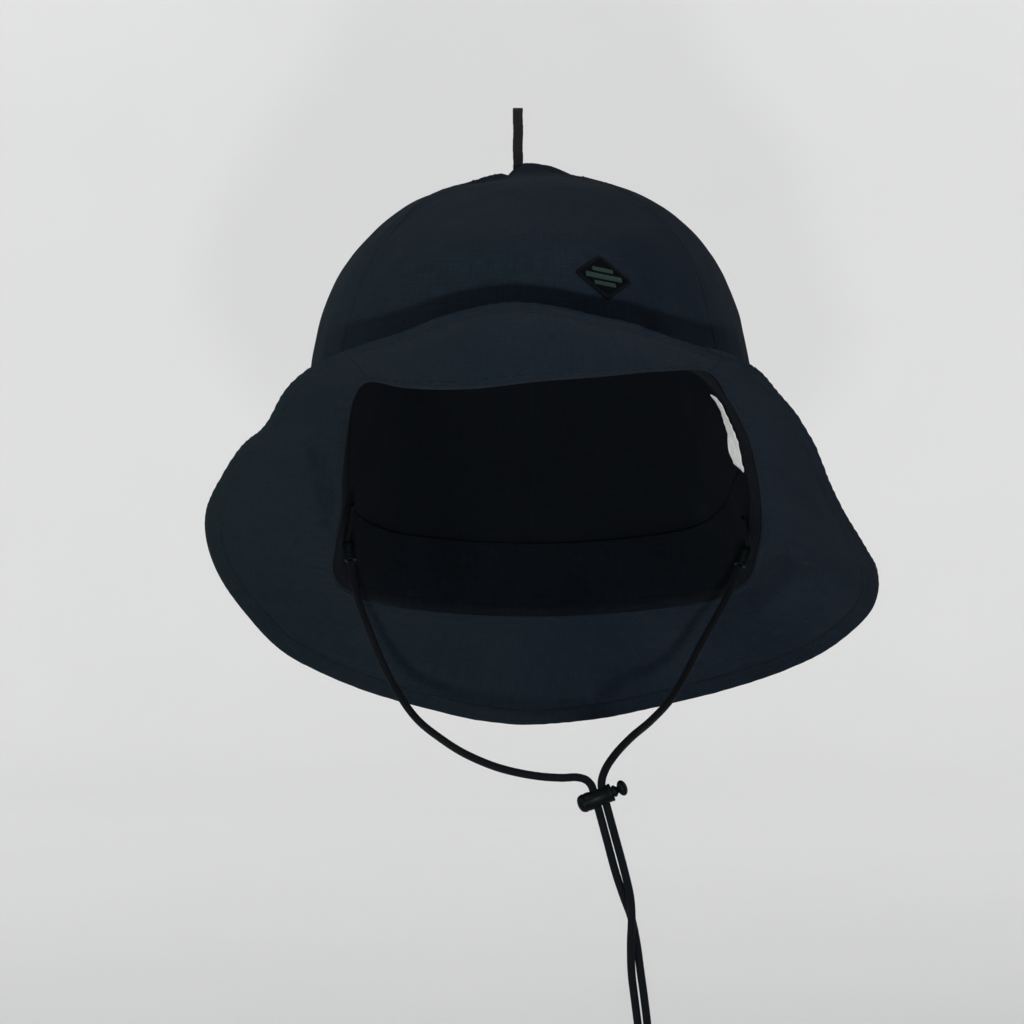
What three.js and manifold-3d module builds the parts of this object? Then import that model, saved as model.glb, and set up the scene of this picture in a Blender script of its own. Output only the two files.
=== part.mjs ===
// Soft bucket hat with a chin cord, as it sits on a head: tilted back, front brim lifted, sides and back drooping.
// Millimetres, +Z up. The face looks along -Y, and the wearer's left is +X. The origin is the middle of the head
// opening, where the head carries the hat.
import * as THREE from 'three';
import { mergeVertices } from 'three/addons/utils/BufferGeometryUtils.js';
import Module from 'manifold-3d';

const wasm = await Module();
wasm.setup();

// Cloth layers, measured inwards from the crown's outer face
const GAP = 0.3;
const SHELL_CLOTH = 0.8;
const TAPE_CLOTH = 0.4;
const LINING_CLOTH = 0.5;
const SWEATBAND_CLOTH = 1.0;
const LABEL_CLOTH = 0.4;
const SWEATBAND_HEIGHT = 32;
const SEAM_TAPE_WIDTH = 8;
const CROWN_FOOT = 2.0;
const CROWN_ROWS = 12;
const TAPE_ROWS = 10;
const COLUMNS_PER_STATION = 2;

// Brim layers, measured from the brim's middle surface
const BRIM_CLOTH = 0.7;
const INTERLINING = 0.3;
const BRIM_BOW = 4;
const BINDING_CLOTH = 0.45;
const BINDING_DEPTH = 5;
const BRIM_ROWS = [0, 0.4, 0.8, 1];

// Trim
const LOOP = {
  width: 4.0, thick: 1.3, outside: 8.4, root: 2.7, spread: 6, height: 23.6, foot: [-6, 12, 139.8],
};
const EMBLEM = { station: 1.18, height: 34.8, width: 21, tall: 15.5, thick: 0.6, droop: 0.24, slant: 0.09 };
const LABEL = { from: 3.4, to: 6.1, foot: 3, tall: 3.6, lean: 5 };

// Chin cord and its lock
const CORD = 3.0;
const CORD_SIDES = 8;
const LOCK_CENTRE = new THREE.Vector3(24.2, -78, -105.9);
const LOCK_LEAN = 22;
const LOCK = {
  radius: 3.2, bore: 2.5, closedEnd: -8.7, boreEnd: -7.7, mouth: 5.1,
  slotHalf: 3.85, slotWidth: 3.6, travel: 1.8,
};
const PLUNGER = { radius: 2.2, innerEnd: -5.05, neck: 1.5, headFrom: 7.1, headRadius: 3.0 };
const SPRING = { radius: 1.6, wire: 0.36, from: -7.4, to: -5.35, turns: 2.5 };
const KNOT = { centre: [40.7, -78, -225.2], radius: 5.2, tall: 11 };
const SLEEVE = { radius: 2.5, length: 9, tabWidth: 9, tabThick: 1.2 };

// Stations go round the hat from the front centre towards the wearer's left: a point on the seam between crown
// and brim, then the brim's outer edge at the same place.
const STATIONS = [
  [[0, -100, 49], [-3, -143, 70.5]],
  [[24, -98, 50.8], [28, -142, 65]],
  [[47, -89, 53], [54.5, -134, 57.5]],
  [[65, -77, 53], [75.5, -122, 51.5]],
  [[74, -62, 43.5], [86.5, -105, 43.5]],
  [[83, -43, 30], [100.5, -84, 27]],
  [[89, -22, 14.5], [112, -60, 6.5]],
  [[93, 2, -2], [126, -30, -10]],
  [[93.5, 26, -16], [137.5, 4, -23.5]],
  [[91, 50, -29], [139, 38, -39.5]],
  [[78, 72, -37], [124, 74, -58]],
  [[54, 89, -42], [88, 106, -75.5]],
  [[27, 98, -45], [46, 127, -88]],
  [[0, 100, -46], [0, 134, -93]],
  [[-31, 96.5, -44.5], [-58, 122, -83]],
  [[-62, 84, -40], [-103, 90, -61.5]],
  [[-78, 68, -34], [-120, 62, -41.5]],
  [[-84, 47, -26], [-128, 30, -24]],
  [[-82, 24, -13], [-129.5, 0, -8]],
  [[-78, 0, 1], [-124, -30, 4.5]],
  [[-76, -22, 16], [-110, -62, 24]],
  [[-73, -42, 31], [-99, -84, 31]],
  [[-69, -60, 44], [-86.5, -104, 46.5]],
  [[-62, -76, 49.6], [-70, -121, 54]],
  [[-47, -88, 47], [-51.5, -133, 60]],
  [[-24, -98, 46.5], [-26, -141, 67.5]],
];
const FRONT_CORNER = 3;
const SIDE_SEAM = 4;
const BACK_SEAM = 9;
const BACK_CENTRE = 13;

// Level rings of the crown above the seam: half-widths each way, height at the middle, and its fall per mm of Y
// and rise per mm of X
const CROWN_RINGS = [
  { right: 89.3, left: 89.4, front: 101, back: 106, height: 37, fall: 0.305, rise: 0.01 },
  { right: 82, left: 79.2, front: 96, back: 100, height: 83, fall: 0.15, rise: 0.01 },
  { right: 69, left: 68.4, front: 76, back: 84, height: 105, fall: 0.08, rise: 0 },
  { right: 50, left: 48, front: 46, back: 62, height: 122.5, fall: 0.05, rise: 0.01 },
  { right: 26, left: 26, front: 18, back: 40, height: 131, fall: 0.03, rise: 0.04 },
];
const APEX = new THREE.Vector3(-3, 12, 138.4);
const APEX_CLEAR = 2.6;

// Cord routes, by hand: from the sleeve at the ear, along the jaw, through the lock, down to the end knot
const CORD_RIGHT = [
  [-73.4, 8, -20], [-72, 5, -28], [-69, 1, -38], [-65, -3, -48], [-59.5, -6, -61], [-53, -11, -72.5],
  [-46, -20, -81], [-36, -37, -87.5], [-25, -55, -92.5], [-12, -68, -96.4], [1, -75, -98.4], [10, -77.6, -98.8],
  [15.9, -78, -98.6], [19.2, -78, -99.6], [21.1, -78, -101.6], [21.7, -78, -103.2],
  [22.6, -78, -106.3], [26.55, -78, -120.8], [30.2, -78, -134.3], [33.1, -76.8, -143],
  [36, -76.3, -151], [37.9, -76.7, -160], [39.4, -77.7, -171], [40.9, -78, -182], [42, -78, -192],
  [42.6, -78, -206], [42.4, -78, -219],
];
const CORD_LEFT = [
  [83.4, 11.5, -22], [80.5, 9, -29], [76.5, 5, -37], [71, 0, -46], [65, -6, -56], [59.5, -13, -65.5],
  [53.5, -24, -73.5], [45, -42, -80.3], [36.5, -60, -85.4], [30.2, -72, -90.6], [26.6, -77, -95.2],
  [25.1, -78, -99], [24.9, -78, -102.2], [25.8, -78, -105.5], [29.75, -78, -120], [33.4, -78, -133.5],
  [35.5, -79.2, -143], [36, -79.7, -151], [35.7, -79.3, -160], [36, -78.3, -171], [37.3, -78, -182],
  [38.5, -78, -192], [39.2, -78, -206], [39.1, -78, -219],
];

const vector = (p) => new THREE.Vector3(...p);
const loopOf = (points) => new THREE.CatmullRomCurve3(points, true, 'centripetal');
const seamPoints = STATIONS.map(([seam]) => vector(seam));
const edgeLoop = loopOf(STATIONS.map(([, edge]) => vector(edge)));

// Materials
const finish = (color, roughness) => new THREE.MeshStandardMaterial({ color, roughness, metalness: 0 });
const shellCloth = () => finish(0x1b2229, 0.9);
const liningCloth = () => finish(0x161b20, 0.95);
const bandCloth = () => finish(0x14181c, 0.95);
const interliningCloth = () => finish(0x2a2d30, 0.95);
const tapeCloth = () => finish(0x2a2628, 0.85);
const cordCloth = () => finish(0x12171a, 0.8);
const lockPlastic = () => finish(0x101214, 0.35);
const springSteel = () => new THREE.MeshStandardMaterial({ color: 0xb8bcc0, roughness: 0.3, metalness: 1 });
const labelCloth = () => finish(0xe9e9e6, 0.7);
const emblemCloth = () => finish(0x0d1212, 0.8);

const hat = new THREE.Group();

function add(name, geometry, material, parent = hat) {
  const mesh = new THREE.Mesh(geometry, material);
  mesh.name = name;
  parent.add(mesh);
  return mesh;
}

// A closed geometry from points and faces, turned to face outwards
function closedGeometry(positions, faces) {
  const p = (i) => new THREE.Vector3(positions[3 * i], positions[3 * i + 1], positions[3 * i + 2]);
  let volume = 0;
  for (let k = 0; k < faces.length; k += 3) {
    volume += p(faces[k]).dot(p(faces[k + 1]).cross(p(faces[k + 2])));
  }
  const geometry = new THREE.BufferGeometry();
  geometry.setAttribute('position', new THREE.Float32BufferAttribute(positions, 3));
  geometry.setIndex(volume < 0 ? faces.slice().reverse() : faces);
  geometry.computeVertexNormals();
  return geometry;
}

// A sheet with thickness: two faces over the same grid, joined round their border. A wrapped sheet closes on
// itself.
function sheet(outer, inner, columns, rows, wrapped = false) {
  const across = wrapped ? columns : columns + 1;
  const positions = [];
  for (const face of [outer, inner]) {
    for (let j = 0; j <= rows; j++) {
      for (let i = 0; i < across; i++) positions.push(...face(i / columns, j / rows).toArray());
    }
  }
  const at = (side, i, j) => side * across * (rows + 1) + j * across + (i % across);
  const faces = [];
  const quad = (a, b, c, d) => faces.push(a, b, c, a, c, d);
  for (let i = 0; i < columns; i++) {
    for (let j = 0; j < rows; j++) {
      quad(at(0, i, j), at(0, i + 1, j), at(0, i + 1, j + 1), at(0, i, j + 1));
      quad(at(1, i, j), at(1, i, j + 1), at(1, i + 1, j + 1), at(1, i + 1, j));
    }
    quad(at(1, i, 0), at(1, i + 1, 0), at(0, i + 1, 0), at(0, i, 0));
    quad(at(0, i, rows), at(0, i + 1, rows), at(1, i + 1, rows), at(1, i, rows));
  }
  for (let j = 0; j < rows && !wrapped; j++) {
    quad(at(0, 0, j), at(0, 0, j + 1), at(1, 0, j + 1), at(1, 0, j));
    quad(at(1, columns, j), at(1, columns, j + 1), at(0, columns, j + 1), at(0, columns, j));
  }
  return closedGeometry(positions, faces);
}

// The crown's rings follow the seam's stations round an oval of their own
function ringPoints({ right, left, front, back, height, fall, rise }) {
  return seamPoints.map((seam) => {
    const angle = Math.atan2(seam.x / (seam.x > 0 ? 93 : 80), -seam.y / 100);
    const x = Math.sin(angle) * (seam.x > 0 ? left : right);
    const y = -Math.cos(angle) * (seam.y < 0 ? front : back);
    return new THREE.Vector3(x, y, height - fall * y + rise * x);
  });
}

const crownLoops = [seamPoints, ...CROWN_RINGS.map(ringPoints)].map(loopOf);
const ribs = new Map();

// The curve from the seam up to the top of the crown at one place round the hat
function rib(turn) {
  const key = turn.toFixed(6);
  if (!ribs.has(key)) {
    const points = crownLoops.map((loop) => loop.getPoint(((turn % 1) + 1) % 1));
    const curve = new THREE.CatmullRomCurve3([...points, APEX], false, 'centripetal');
    curve.arcLengthDivisions = 80;
    ribs.set(key, curve);
  }
  return ribs.get(key);
}

// A point on the crown, some millimetres up from the seam, and a point on the brim's middle surface
function onCrown(turn, climb) {
  const curve = rib(turn);
  return curve.getPointAt(THREE.MathUtils.clamp(climb / curve.getLength(), 0, 1));
}

function onBrim(turn, outward) {
  const round = ((turn % 1) + 1) % 1;
  const point = crownLoops[0].getPoint(round).lerp(edgeLoop.getPoint(round), outward);
  point.z += BRIM_BOW * Math.sin(Math.PI * outward);
  return point;
}

const TURN_STEP = 0.004;

// Which way a surface faces: outwards on the crown, upwards on the brim
function crownNormal(turn, climb) {
  const along = onCrown(turn + TURN_STEP, climb).sub(onCrown(turn - TURN_STEP, climb));
  const up = onCrown(turn, climb + 1).sub(onCrown(turn, climb - 1));
  return along.cross(up).normalize();
}

function brimNormal(turn, outward) {
  const along = onBrim(turn + TURN_STEP, outward).sub(onBrim(turn - TURN_STEP, outward));
  const out = onBrim(turn, outward + 0.02).sub(onBrim(turn, outward - 0.02));
  return out.cross(along).normalize();
}

const crownLayer = (turn, climb, depth) =>
  onCrown(turn, climb).addScaledVector(crownNormal(turn, climb), -depth);
const brimLayer = (turn, outward, raise) =>
  onBrim(turn, outward).addScaledVector(brimNormal(turn, outward), raise);
const stationTurn = (station) => station / STATIONS.length;

// Millimetres round the crown for each unit of turn
const crownGirth = (turn, climb) =>
  onCrown(turn + TURN_STEP, climb).distanceTo(onCrown(turn - TURN_STEP, climb)) / (2 * TURN_STEP);
const climbTo = (turn, foot, share) =>
  THREE.MathUtils.lerp(foot, rib(turn).getLength() - APEX_CLEAR, share);

// A cloth piece of the crown between two stations, kept half a gap inside its own borders
function crownPiece(from, to, depth, thick, foot, rows) {
  const face = (level) => (u, v) => {
    const turn = stationTurn(THREE.MathUtils.lerp(from, to, u));
    const climb = climbTo(turn, foot, v);
    const margin = (GAP * (0.5 - u)) / crownGirth(turn, climb);
    return crownLayer(turn + margin, climb, level);
  };
  return sheet(face(depth), face(depth + thick), (to - from) * COLUMNS_PER_STATION, rows);
}

const tapeDepth = SHELL_CLOTH + 2 * GAP;
const liningDepth = tapeDepth + TAPE_CLOTH + 3 * GAP;
const sweatbandDepth = liningDepth + LINING_CLOTH + 5 * GAP;

function addCrown() {
  const round = STATIONS.length;
  const panels = [
    ['crown_front_panel', -SIDE_SEAM, SIDE_SEAM],
    ['crown_side_panel_left', SIDE_SEAM, BACK_SEAM],
    ['crown_back_panel_left', BACK_SEAM, BACK_CENTRE],
    ['crown_back_panel_right', BACK_CENTRE, round - BACK_SEAM],
    ['crown_side_panel_right', round - BACK_SEAM, round - SIDE_SEAM],
  ];
  for (const [name, from, to] of panels) {
    add(name, crownPiece(from, to, 0, SHELL_CLOTH, CROWN_FOOT, CROWN_ROWS), shellCloth());
  }
  const linings = [['crown_lining_left', 0, BACK_CENTRE], ['crown_lining_right', BACK_CENTRE, round]];
  for (const [name, from, to] of linings) {
    add(name, crownPiece(from, to, liningDepth, LINING_CLOTH, CROWN_FOOT + 2, 12), liningCloth());
  }
}

// A narrow tape over the inside of each crown seam
function addSeamTapes() {
  const seams = [
    ['seam_tape_front_left', SIDE_SEAM], ['seam_tape_side_left', BACK_SEAM], ['seam_tape_back', BACK_CENTRE],
    ['seam_tape_side_right', STATIONS.length - BACK_SEAM],
    ['seam_tape_front_right', STATIONS.length - SIDE_SEAM],
  ];
  for (const [name, station] of seams) {
    const turn = stationTurn(station);
    const face = (depth) => (u, v) => {
      const climb = climbTo(turn, CROWN_FOOT, (v * TAPE_ROWS) / CROWN_ROWS);
      const aside = ((u - 0.5) * SEAM_TAPE_WIDTH) / crownGirth(turn, climb);
      return crownLayer(turn + aside, climb, depth);
    };
    add(name, sheet(face(tapeDepth), face(tapeDepth + TAPE_CLOTH), 2, TAPE_ROWS), tapeCloth());
  }
}

function addSweatband() {
  const face = (depth) => (u, v) =>
    crownLayer(u, THREE.MathUtils.lerp(CROWN_FOOT, SWEATBAND_HEIGHT, v), depth);
  const columns = STATIONS.length * COLUMNS_PER_STATION;
  const band = sheet(face(sweatbandDepth), face(sweatbandDepth + SWEATBAND_CLOTH), columns, 2, true);
  add('sweatband', band, bandCloth());
}

// The brim has a short front piece and a long piece round the sides and back, each of upper cloth, interlining
// and under cloth, and one binding folded over the whole edge.
function addBrim() {
  const layers = [
    ['brim_upper', INTERLINING / 2 + GAP, BRIM_CLOTH, shellCloth],
    ['brim_interlining', -INTERLINING / 2, INTERLINING, interliningCloth],
    ['brim_under', -INTERLINING / 2 - GAP - BRIM_CLOTH, BRIM_CLOTH, shellCloth],
  ];
  const pieces = [
    ['front', -FRONT_CORNER, FRONT_CORNER],
    ['back', FRONT_CORNER, STATIONS.length - FRONT_CORNER],
  ];
  for (const [layer, low, thick, cloth] of layers) {
    for (const [piece, from, to] of pieces) {
      const columns = (to - from) * COLUMNS_PER_STATION;
      const rows = BRIM_ROWS.length - 1;
      const face = (raise) => (u, v) => {
        const turn = THREE.MathUtils.lerp(stationTurn(from), stationTurn(to), u);
        const middle = onBrim(turn, 0.5);
        const girth = onBrim(turn + TURN_STEP, 0.5).distanceTo(onBrim(turn - TURN_STEP, 0.5));
        const width = middle.distanceTo(onBrim(turn, 0)) * 2;
        const margin = (1.6 * GAP * TURN_STEP * (0.5 - u) * 2) / girth;
        const outward = BRIM_ROWS[Math.round(v * rows)] * (1 - 0.2 / width);
        return brimLayer(turn + margin, outward, raise);
      };
      add(`${layer}_${piece}`, sheet(face(low + thick), face(low), columns, rows), cloth());
    }
  }
}

function addBinding() {
  const stack = INTERLINING / 2 + GAP + BRIM_CLOTH + 1.5 * GAP;
  const outer = stack + BINDING_CLOTH;
  const lip = GAP + 0.1;
  const section = [
    [-BINDING_DEPTH, outer], [lip, outer], [lip + 2 * BINDING_CLOTH, outer / 2],
    [lip + 2 * BINDING_CLOTH, -outer / 2],
    [lip, -outer], [-BINDING_DEPTH, -outer], [-BINDING_DEPTH, -stack], [lip, -stack], [lip, stack],
    [-BINDING_DEPTH, stack],
  ];
  const columns = STATIONS.length * COLUMNS_PER_STATION;
  const positions = [];
  const faces = [];
  for (let i = 0; i < columns; i++) {
    const turn = i / columns;
    const edge = onBrim(turn, 1);
    const up = brimNormal(turn, 1);
    const along = onBrim(turn + TURN_STEP, 1).sub(onBrim(turn - TURN_STEP, 1)).normalize();
    const out = along.clone().cross(up).normalize();
    section.forEach(([reach, raise], k) => {
      positions.push(...edge.clone().addScaledVector(out, reach).addScaledVector(up, raise).toArray());
      const next = (k + 1) % section.length;
      const here = i * section.length;
      const there = ((i + 1) % columns) * section.length;
      faces.push(here + k, there + k, there + next, here + k, there + next, here + next);
    });
  }
  add('brim_edge_binding', closedGeometry(positions, faces), tapeCloth());
}

// Diamond-shaped patch on the front panel and the folded label in the seam inside
function addEmblem() {
  const turn = stationTurn(EMBLEM.station);
  const girth = crownGirth(turn, EMBLEM.height);
  const face = (raise) => (u, v) => {
    const across = ((u - v) * EMBLEM.width) / 2;
    const tall = ((u + v - 1) * EMBLEM.tall) / 2;
    const x = across - EMBLEM.slant * tall;
    const z = tall - EMBLEM.droop * across;
    return crownLayer(turn + x / girth, EMBLEM.height + z, -raise);
  };
  add('emblem_patch', sheet(face(GAP + EMBLEM.thick), face(GAP), 4, 4), emblemCloth());
}

function addLabel() {
  const depth = sweatbandDepth + SWEATBAND_CLOTH + GAP;
  const face = (level) => (u, v) => {
    const turn = stationTurn(THREE.MathUtils.lerp(LABEL.from, LABEL.to, u));
    return crownLayer(turn, LABEL.foot + LABEL.tall * v, level + LABEL.lean * v);
  };
  add('care_label', sheet(face(depth), face(depth + LABEL_CLOTH), 8, 1), labelCloth());
}

// Tape folded into an upright loop. Both ends are sewn in together where the crown panels meet.
function addHangLoop() {
  const { thick, root, spread, height } = LOOP;
  const half = LOOP.outside / 2;
  const inside = half - thick;
  const outline = new THREE.Shape();
  outline.moveTo(-root / 2, 0);
  outline.lineTo(-half, spread);
  outline.lineTo(-half, height);
  outline.lineTo(half, height);
  outline.lineTo(half, spread);
  outline.lineTo(root / 2, 0);
  outline.lineTo(root / 2 - thick, 0);
  outline.lineTo(inside, spread);
  outline.lineTo(inside, height - thick);
  outline.lineTo(-inside, height - thick);
  outline.lineTo(-inside, spread);
  outline.lineTo(thick - root / 2, 0);
  outline.closePath();
  const loop = add('hang_loop', new THREE.ExtrudeGeometry(outline, { depth: LOOP.width, bevelEnabled: false }),
    tapeCloth());
  loop.geometry.translate(0, 0, -LOOP.width / 2).rotateX(Math.PI / 2).rotateZ(Math.PI / 2);
  loop.position.set(...LOOP.foot);
}

// Chin cords
function cordSection() {
  const section = new THREE.Shape();
  for (let k = 0; k < CORD_SIDES; k++) {
    const angle = (2 * Math.PI * (k + 0.5)) / CORD_SIDES;
    section[k ? 'lineTo' : 'moveTo']((CORD / 2) * Math.cos(angle), (CORD / 2) * Math.sin(angle));
  }
  section.closePath();
  return section;
}

function addCord(name, points) {
  const route = new THREE.CatmullRomCurve3(points.map(vector), false, 'centripetal');
  route.arcLengthDivisions = 400;
  const options = { steps: 44, extrudePath: route, bevelEnabled: false };
  add(name, new THREE.ExtrudeGeometry(cordSection(), options), cordCloth());
}

// A moulded sleeve on a flat tab, which carries each cord from the inside of the head seam
function addAnchor(name, route, seamPoint) {
  const start = vector(route[0]);
  const upward = start.clone().sub(vector(route[1])).normalize();
  const anchor = new THREE.Group();
  anchor.position.copy(start).addScaledVector(upward, GAP);
  anchor.quaternion.setFromUnitVectors(new THREE.Vector3(0, 0, 1), upward);
  hat.add(anchor);
  const top = SLEEVE.length;
  const profile = [
    [0, 0], [SLEEVE.radius, 0], [SLEEVE.radius, top * 0.7], [SLEEVE.radius * 0.6, top], [0, top],
  ];
  const sleeve = new THREE.LatheGeometry(profile.map(([r, z]) => new THREE.Vector2(r, z)), 12);
  sleeve.rotateX(Math.PI / 2);
  add(`${name}_sleeve`, sleeve, lockPlastic(), anchor);
  const sleeveTop = anchor.position.clone().addScaledVector(upward, top + 5 * GAP);
  const reach = seamPoint.clone().sub(sleeveTop);
  const tab = new THREE.BoxGeometry(SLEEVE.tabThick, SLEEVE.tabWidth, reach.length());
  const mesh = add(`${name}_tab`, tab, tapeCloth());
  mesh.position.copy(sleeveTop).addScaledVector(reach, 0.5);
  mesh.quaternion.setFromUnitVectors(new THREE.Vector3(0, 0, 1), reach.normalize());
}

// Solids for boolean cuts
function solid(geometry) {
  const plain = geometry.clone();
  plain.deleteAttribute('normal');
  plain.deleteAttribute('uv');
  const merged = mergeVertices(plain, 1e-4);
  const vertProperties = new Float32Array(merged.attributes.position.array);
  const triVerts = new Uint32Array(merged.index.array);
  return new wasm.Manifold(new wasm.Mesh({ numProp: 3, vertProperties, triVerts }));
}

function geometryOf(manifold) {
  const { vertProperties, triVerts } = manifold.getMesh();
  const geometry = new THREE.BufferGeometry();
  geometry.setAttribute('position', new THREE.Float32BufferAttribute(vertProperties, 3));
  geometry.setIndex(Array.from(triVerts));
  geometry.computeVertexNormals();
  return geometry;
}

// Shapes turned about the lock's own axis, which is X here, with the press button towards +X
function turned(profile, sides) {
  const geometry = new THREE.LatheGeometry(profile.map(([x, r]) => new THREE.Vector2(r, x)), sides);
  return geometry.rotateZ(-Math.PI / 2);
}

// A slot with round sides, right through along Z
function slotCutter(from, to) {
  const half = LOCK.slotWidth / 2;
  const outline = new THREE.Shape();
  outline.absarc(to - half, 0, half, -Math.PI / 2, Math.PI / 2, false);
  outline.absarc(from + half, 0, half, Math.PI / 2, 1.5 * Math.PI, false);
  outline.closePath();
  const depth = 4 * LOCK.radius;
  const options = { depth, bevelEnabled: false, curveSegments: 6 };
  return new THREE.ExtrudeGeometry(outline, options).translate(0, 0, -depth / 2);
}

function lockBody() {
  const { radius, bore, closedEnd, boreEnd, mouth, slotHalf } = LOCK;
  const profile = [[closedEnd, 0], [closedEnd + 0.3, radius * 0.55], [closedEnd + 1.2, radius * 0.88],
    [closedEnd + 2.6, radius], [mouth - 0.4, radius], [mouth, radius - 0.4], [mouth, bore], [boreEnd, bore],
    [boreEnd, 0]];
  return geometryOf(solid(turned(profile, 24)).subtract(solid(slotCutter(-slotHalf, slotHalf))));
}

function lockPlunger() {
  const { radius, innerEnd, neck, headFrom, headRadius } = PLUNGER;
  const dome = [20, 50, 80, 110, 140].map((degrees) => {
    const angle = THREE.MathUtils.degToRad(degrees);
    return [headFrom + (headRadius * (1 - Math.cos(angle))) / 1.6, headRadius * Math.sin(angle)];
  });
  const headEnd = dome[dome.length - 1][0] + 0.5;
  const profile = [[innerEnd, 0], [innerEnd, radius], [LOCK.slotHalf + LOCK.travel + 0.6, radius],
    [headFrom - 0.3, neck], ...dome, [headEnd, 0]];
  const slot = slotCutter(-LOCK.slotHalf, LOCK.slotHalf + LOCK.travel);
  return geometryOf(solid(turned(profile, 24)).subtract(solid(slot)));
}

function lockSpring() {
  const points = [];
  const steps = Math.round(SPRING.turns * 10);
  for (let i = 0; i <= steps; i++) {
    const angle = (i / steps) * SPRING.turns * 2 * Math.PI;
    const x = THREE.MathUtils.lerp(SPRING.from + SPRING.wire, SPRING.to - SPRING.wire, i / steps);
    points.push(new THREE.Vector3(x, SPRING.radius * Math.cos(angle), SPRING.radius * Math.sin(angle)));
  }
  const wire = new THREE.Shape();
  for (let k = 0; k < 6; k++) {
    const angle = (k * Math.PI) / 3;
    const x = (SPRING.wire / 2) * Math.cos(angle);
    wire[k ? 'lineTo' : 'moveTo'](x, (SPRING.wire / 2) * Math.sin(angle));
  }
  wire.closePath();
  const extrudePath = new THREE.CatmullRomCurve3(points);
  return new THREE.ExtrudeGeometry(wire, { steps, extrudePath, bevelEnabled: false });
}

function addCordLock() {
  const lock = new THREE.Group();
  lock.position.copy(LOCK_CENTRE);
  lock.rotation.y = -THREE.MathUtils.degToRad(LOCK_LEAN);
  hat.add(lock);
  add('cord_lock_body', lockBody(), lockPlastic(), lock);
  add('cord_lock_plunger', lockPlunger(), lockPlastic(), lock);
  add('cord_lock_spring', lockSpring(), springSteel(), lock);
}

// Both cord ends are tied into one knot
function addKnot() {
  const profile = [];
  for (let k = 0; k <= 8; k++) {
    const angle = (k / 8) * Math.PI;
    profile.push(new THREE.Vector2(KNOT.radius * Math.sin(angle), (KNOT.tall / 2) * -Math.cos(angle)));
  }
  profile[0].x = 0;
  profile[8].x = 0;
  const geometry = new THREE.LatheGeometry(profile, 14).rotateX(Math.PI / 2);
  add('cord_end_knot', geometry, cordCloth()).position.set(...KNOT.centre);
}

addCrown();
addSeamTapes();
addSweatband();
addBrim();
addBinding();
addEmblem();
addLabel();
addHangLoop();
addCord('chin_cord_right', CORD_RIGHT);
addCord('chin_cord_left', CORD_LEFT);
addAnchor('cord_anchor_right', CORD_RIGHT, vector([-72.5, 8.5, 3]));
addAnchor('cord_anchor_left', CORD_LEFT, vector([85, 13, -2.5]));
addCordLock();
addKnot();

export default hat;
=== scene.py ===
"""Soft bucket hat with a chin cord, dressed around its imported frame. Shapes are worked out in millimetres in the
frame's axes (+Z up, the face looks along -Y, the wearer's left is +X) and become metres when a piece is made."""
import math

import bmesh
import bpy
import numpy as np
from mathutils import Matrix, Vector


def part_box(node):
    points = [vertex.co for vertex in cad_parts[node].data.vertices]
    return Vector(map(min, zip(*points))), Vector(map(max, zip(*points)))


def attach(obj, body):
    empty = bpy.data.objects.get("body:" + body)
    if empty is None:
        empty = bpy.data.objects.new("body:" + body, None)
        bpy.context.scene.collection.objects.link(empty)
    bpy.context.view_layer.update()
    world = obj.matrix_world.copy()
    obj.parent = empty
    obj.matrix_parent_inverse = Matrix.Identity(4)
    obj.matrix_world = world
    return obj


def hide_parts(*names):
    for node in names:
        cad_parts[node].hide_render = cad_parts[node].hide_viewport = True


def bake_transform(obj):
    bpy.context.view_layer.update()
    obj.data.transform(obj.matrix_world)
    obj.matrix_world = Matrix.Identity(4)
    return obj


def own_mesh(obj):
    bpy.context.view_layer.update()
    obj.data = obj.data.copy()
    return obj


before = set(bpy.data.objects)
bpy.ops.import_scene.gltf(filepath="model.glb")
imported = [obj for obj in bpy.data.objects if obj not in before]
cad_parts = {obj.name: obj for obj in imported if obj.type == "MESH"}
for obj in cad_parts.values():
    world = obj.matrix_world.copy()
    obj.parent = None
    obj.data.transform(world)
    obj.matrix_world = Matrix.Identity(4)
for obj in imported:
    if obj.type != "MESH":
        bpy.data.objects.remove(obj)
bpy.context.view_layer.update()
MM = 0.001

# ---- camera
CAMERA_AT = (-0.0084, -1.1, 0.0)
LENS = 96.7


def add_camera():
    data = bpy.data.cameras.new("camera")
    data.lens, data.sensor_width, data.clip_end = LENS, 36.0, 20.0
    camera = bpy.data.objects.new("camera", data)
    camera.location = CAMERA_AT
    camera.rotation_euler = (math.pi / 2, 0, 0)
    bpy.context.collection.objects.link(camera)
    bpy.context.scene.camera = camera


add_camera()
bpy.context.scene.view_settings.view_transform = "Standard"

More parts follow.
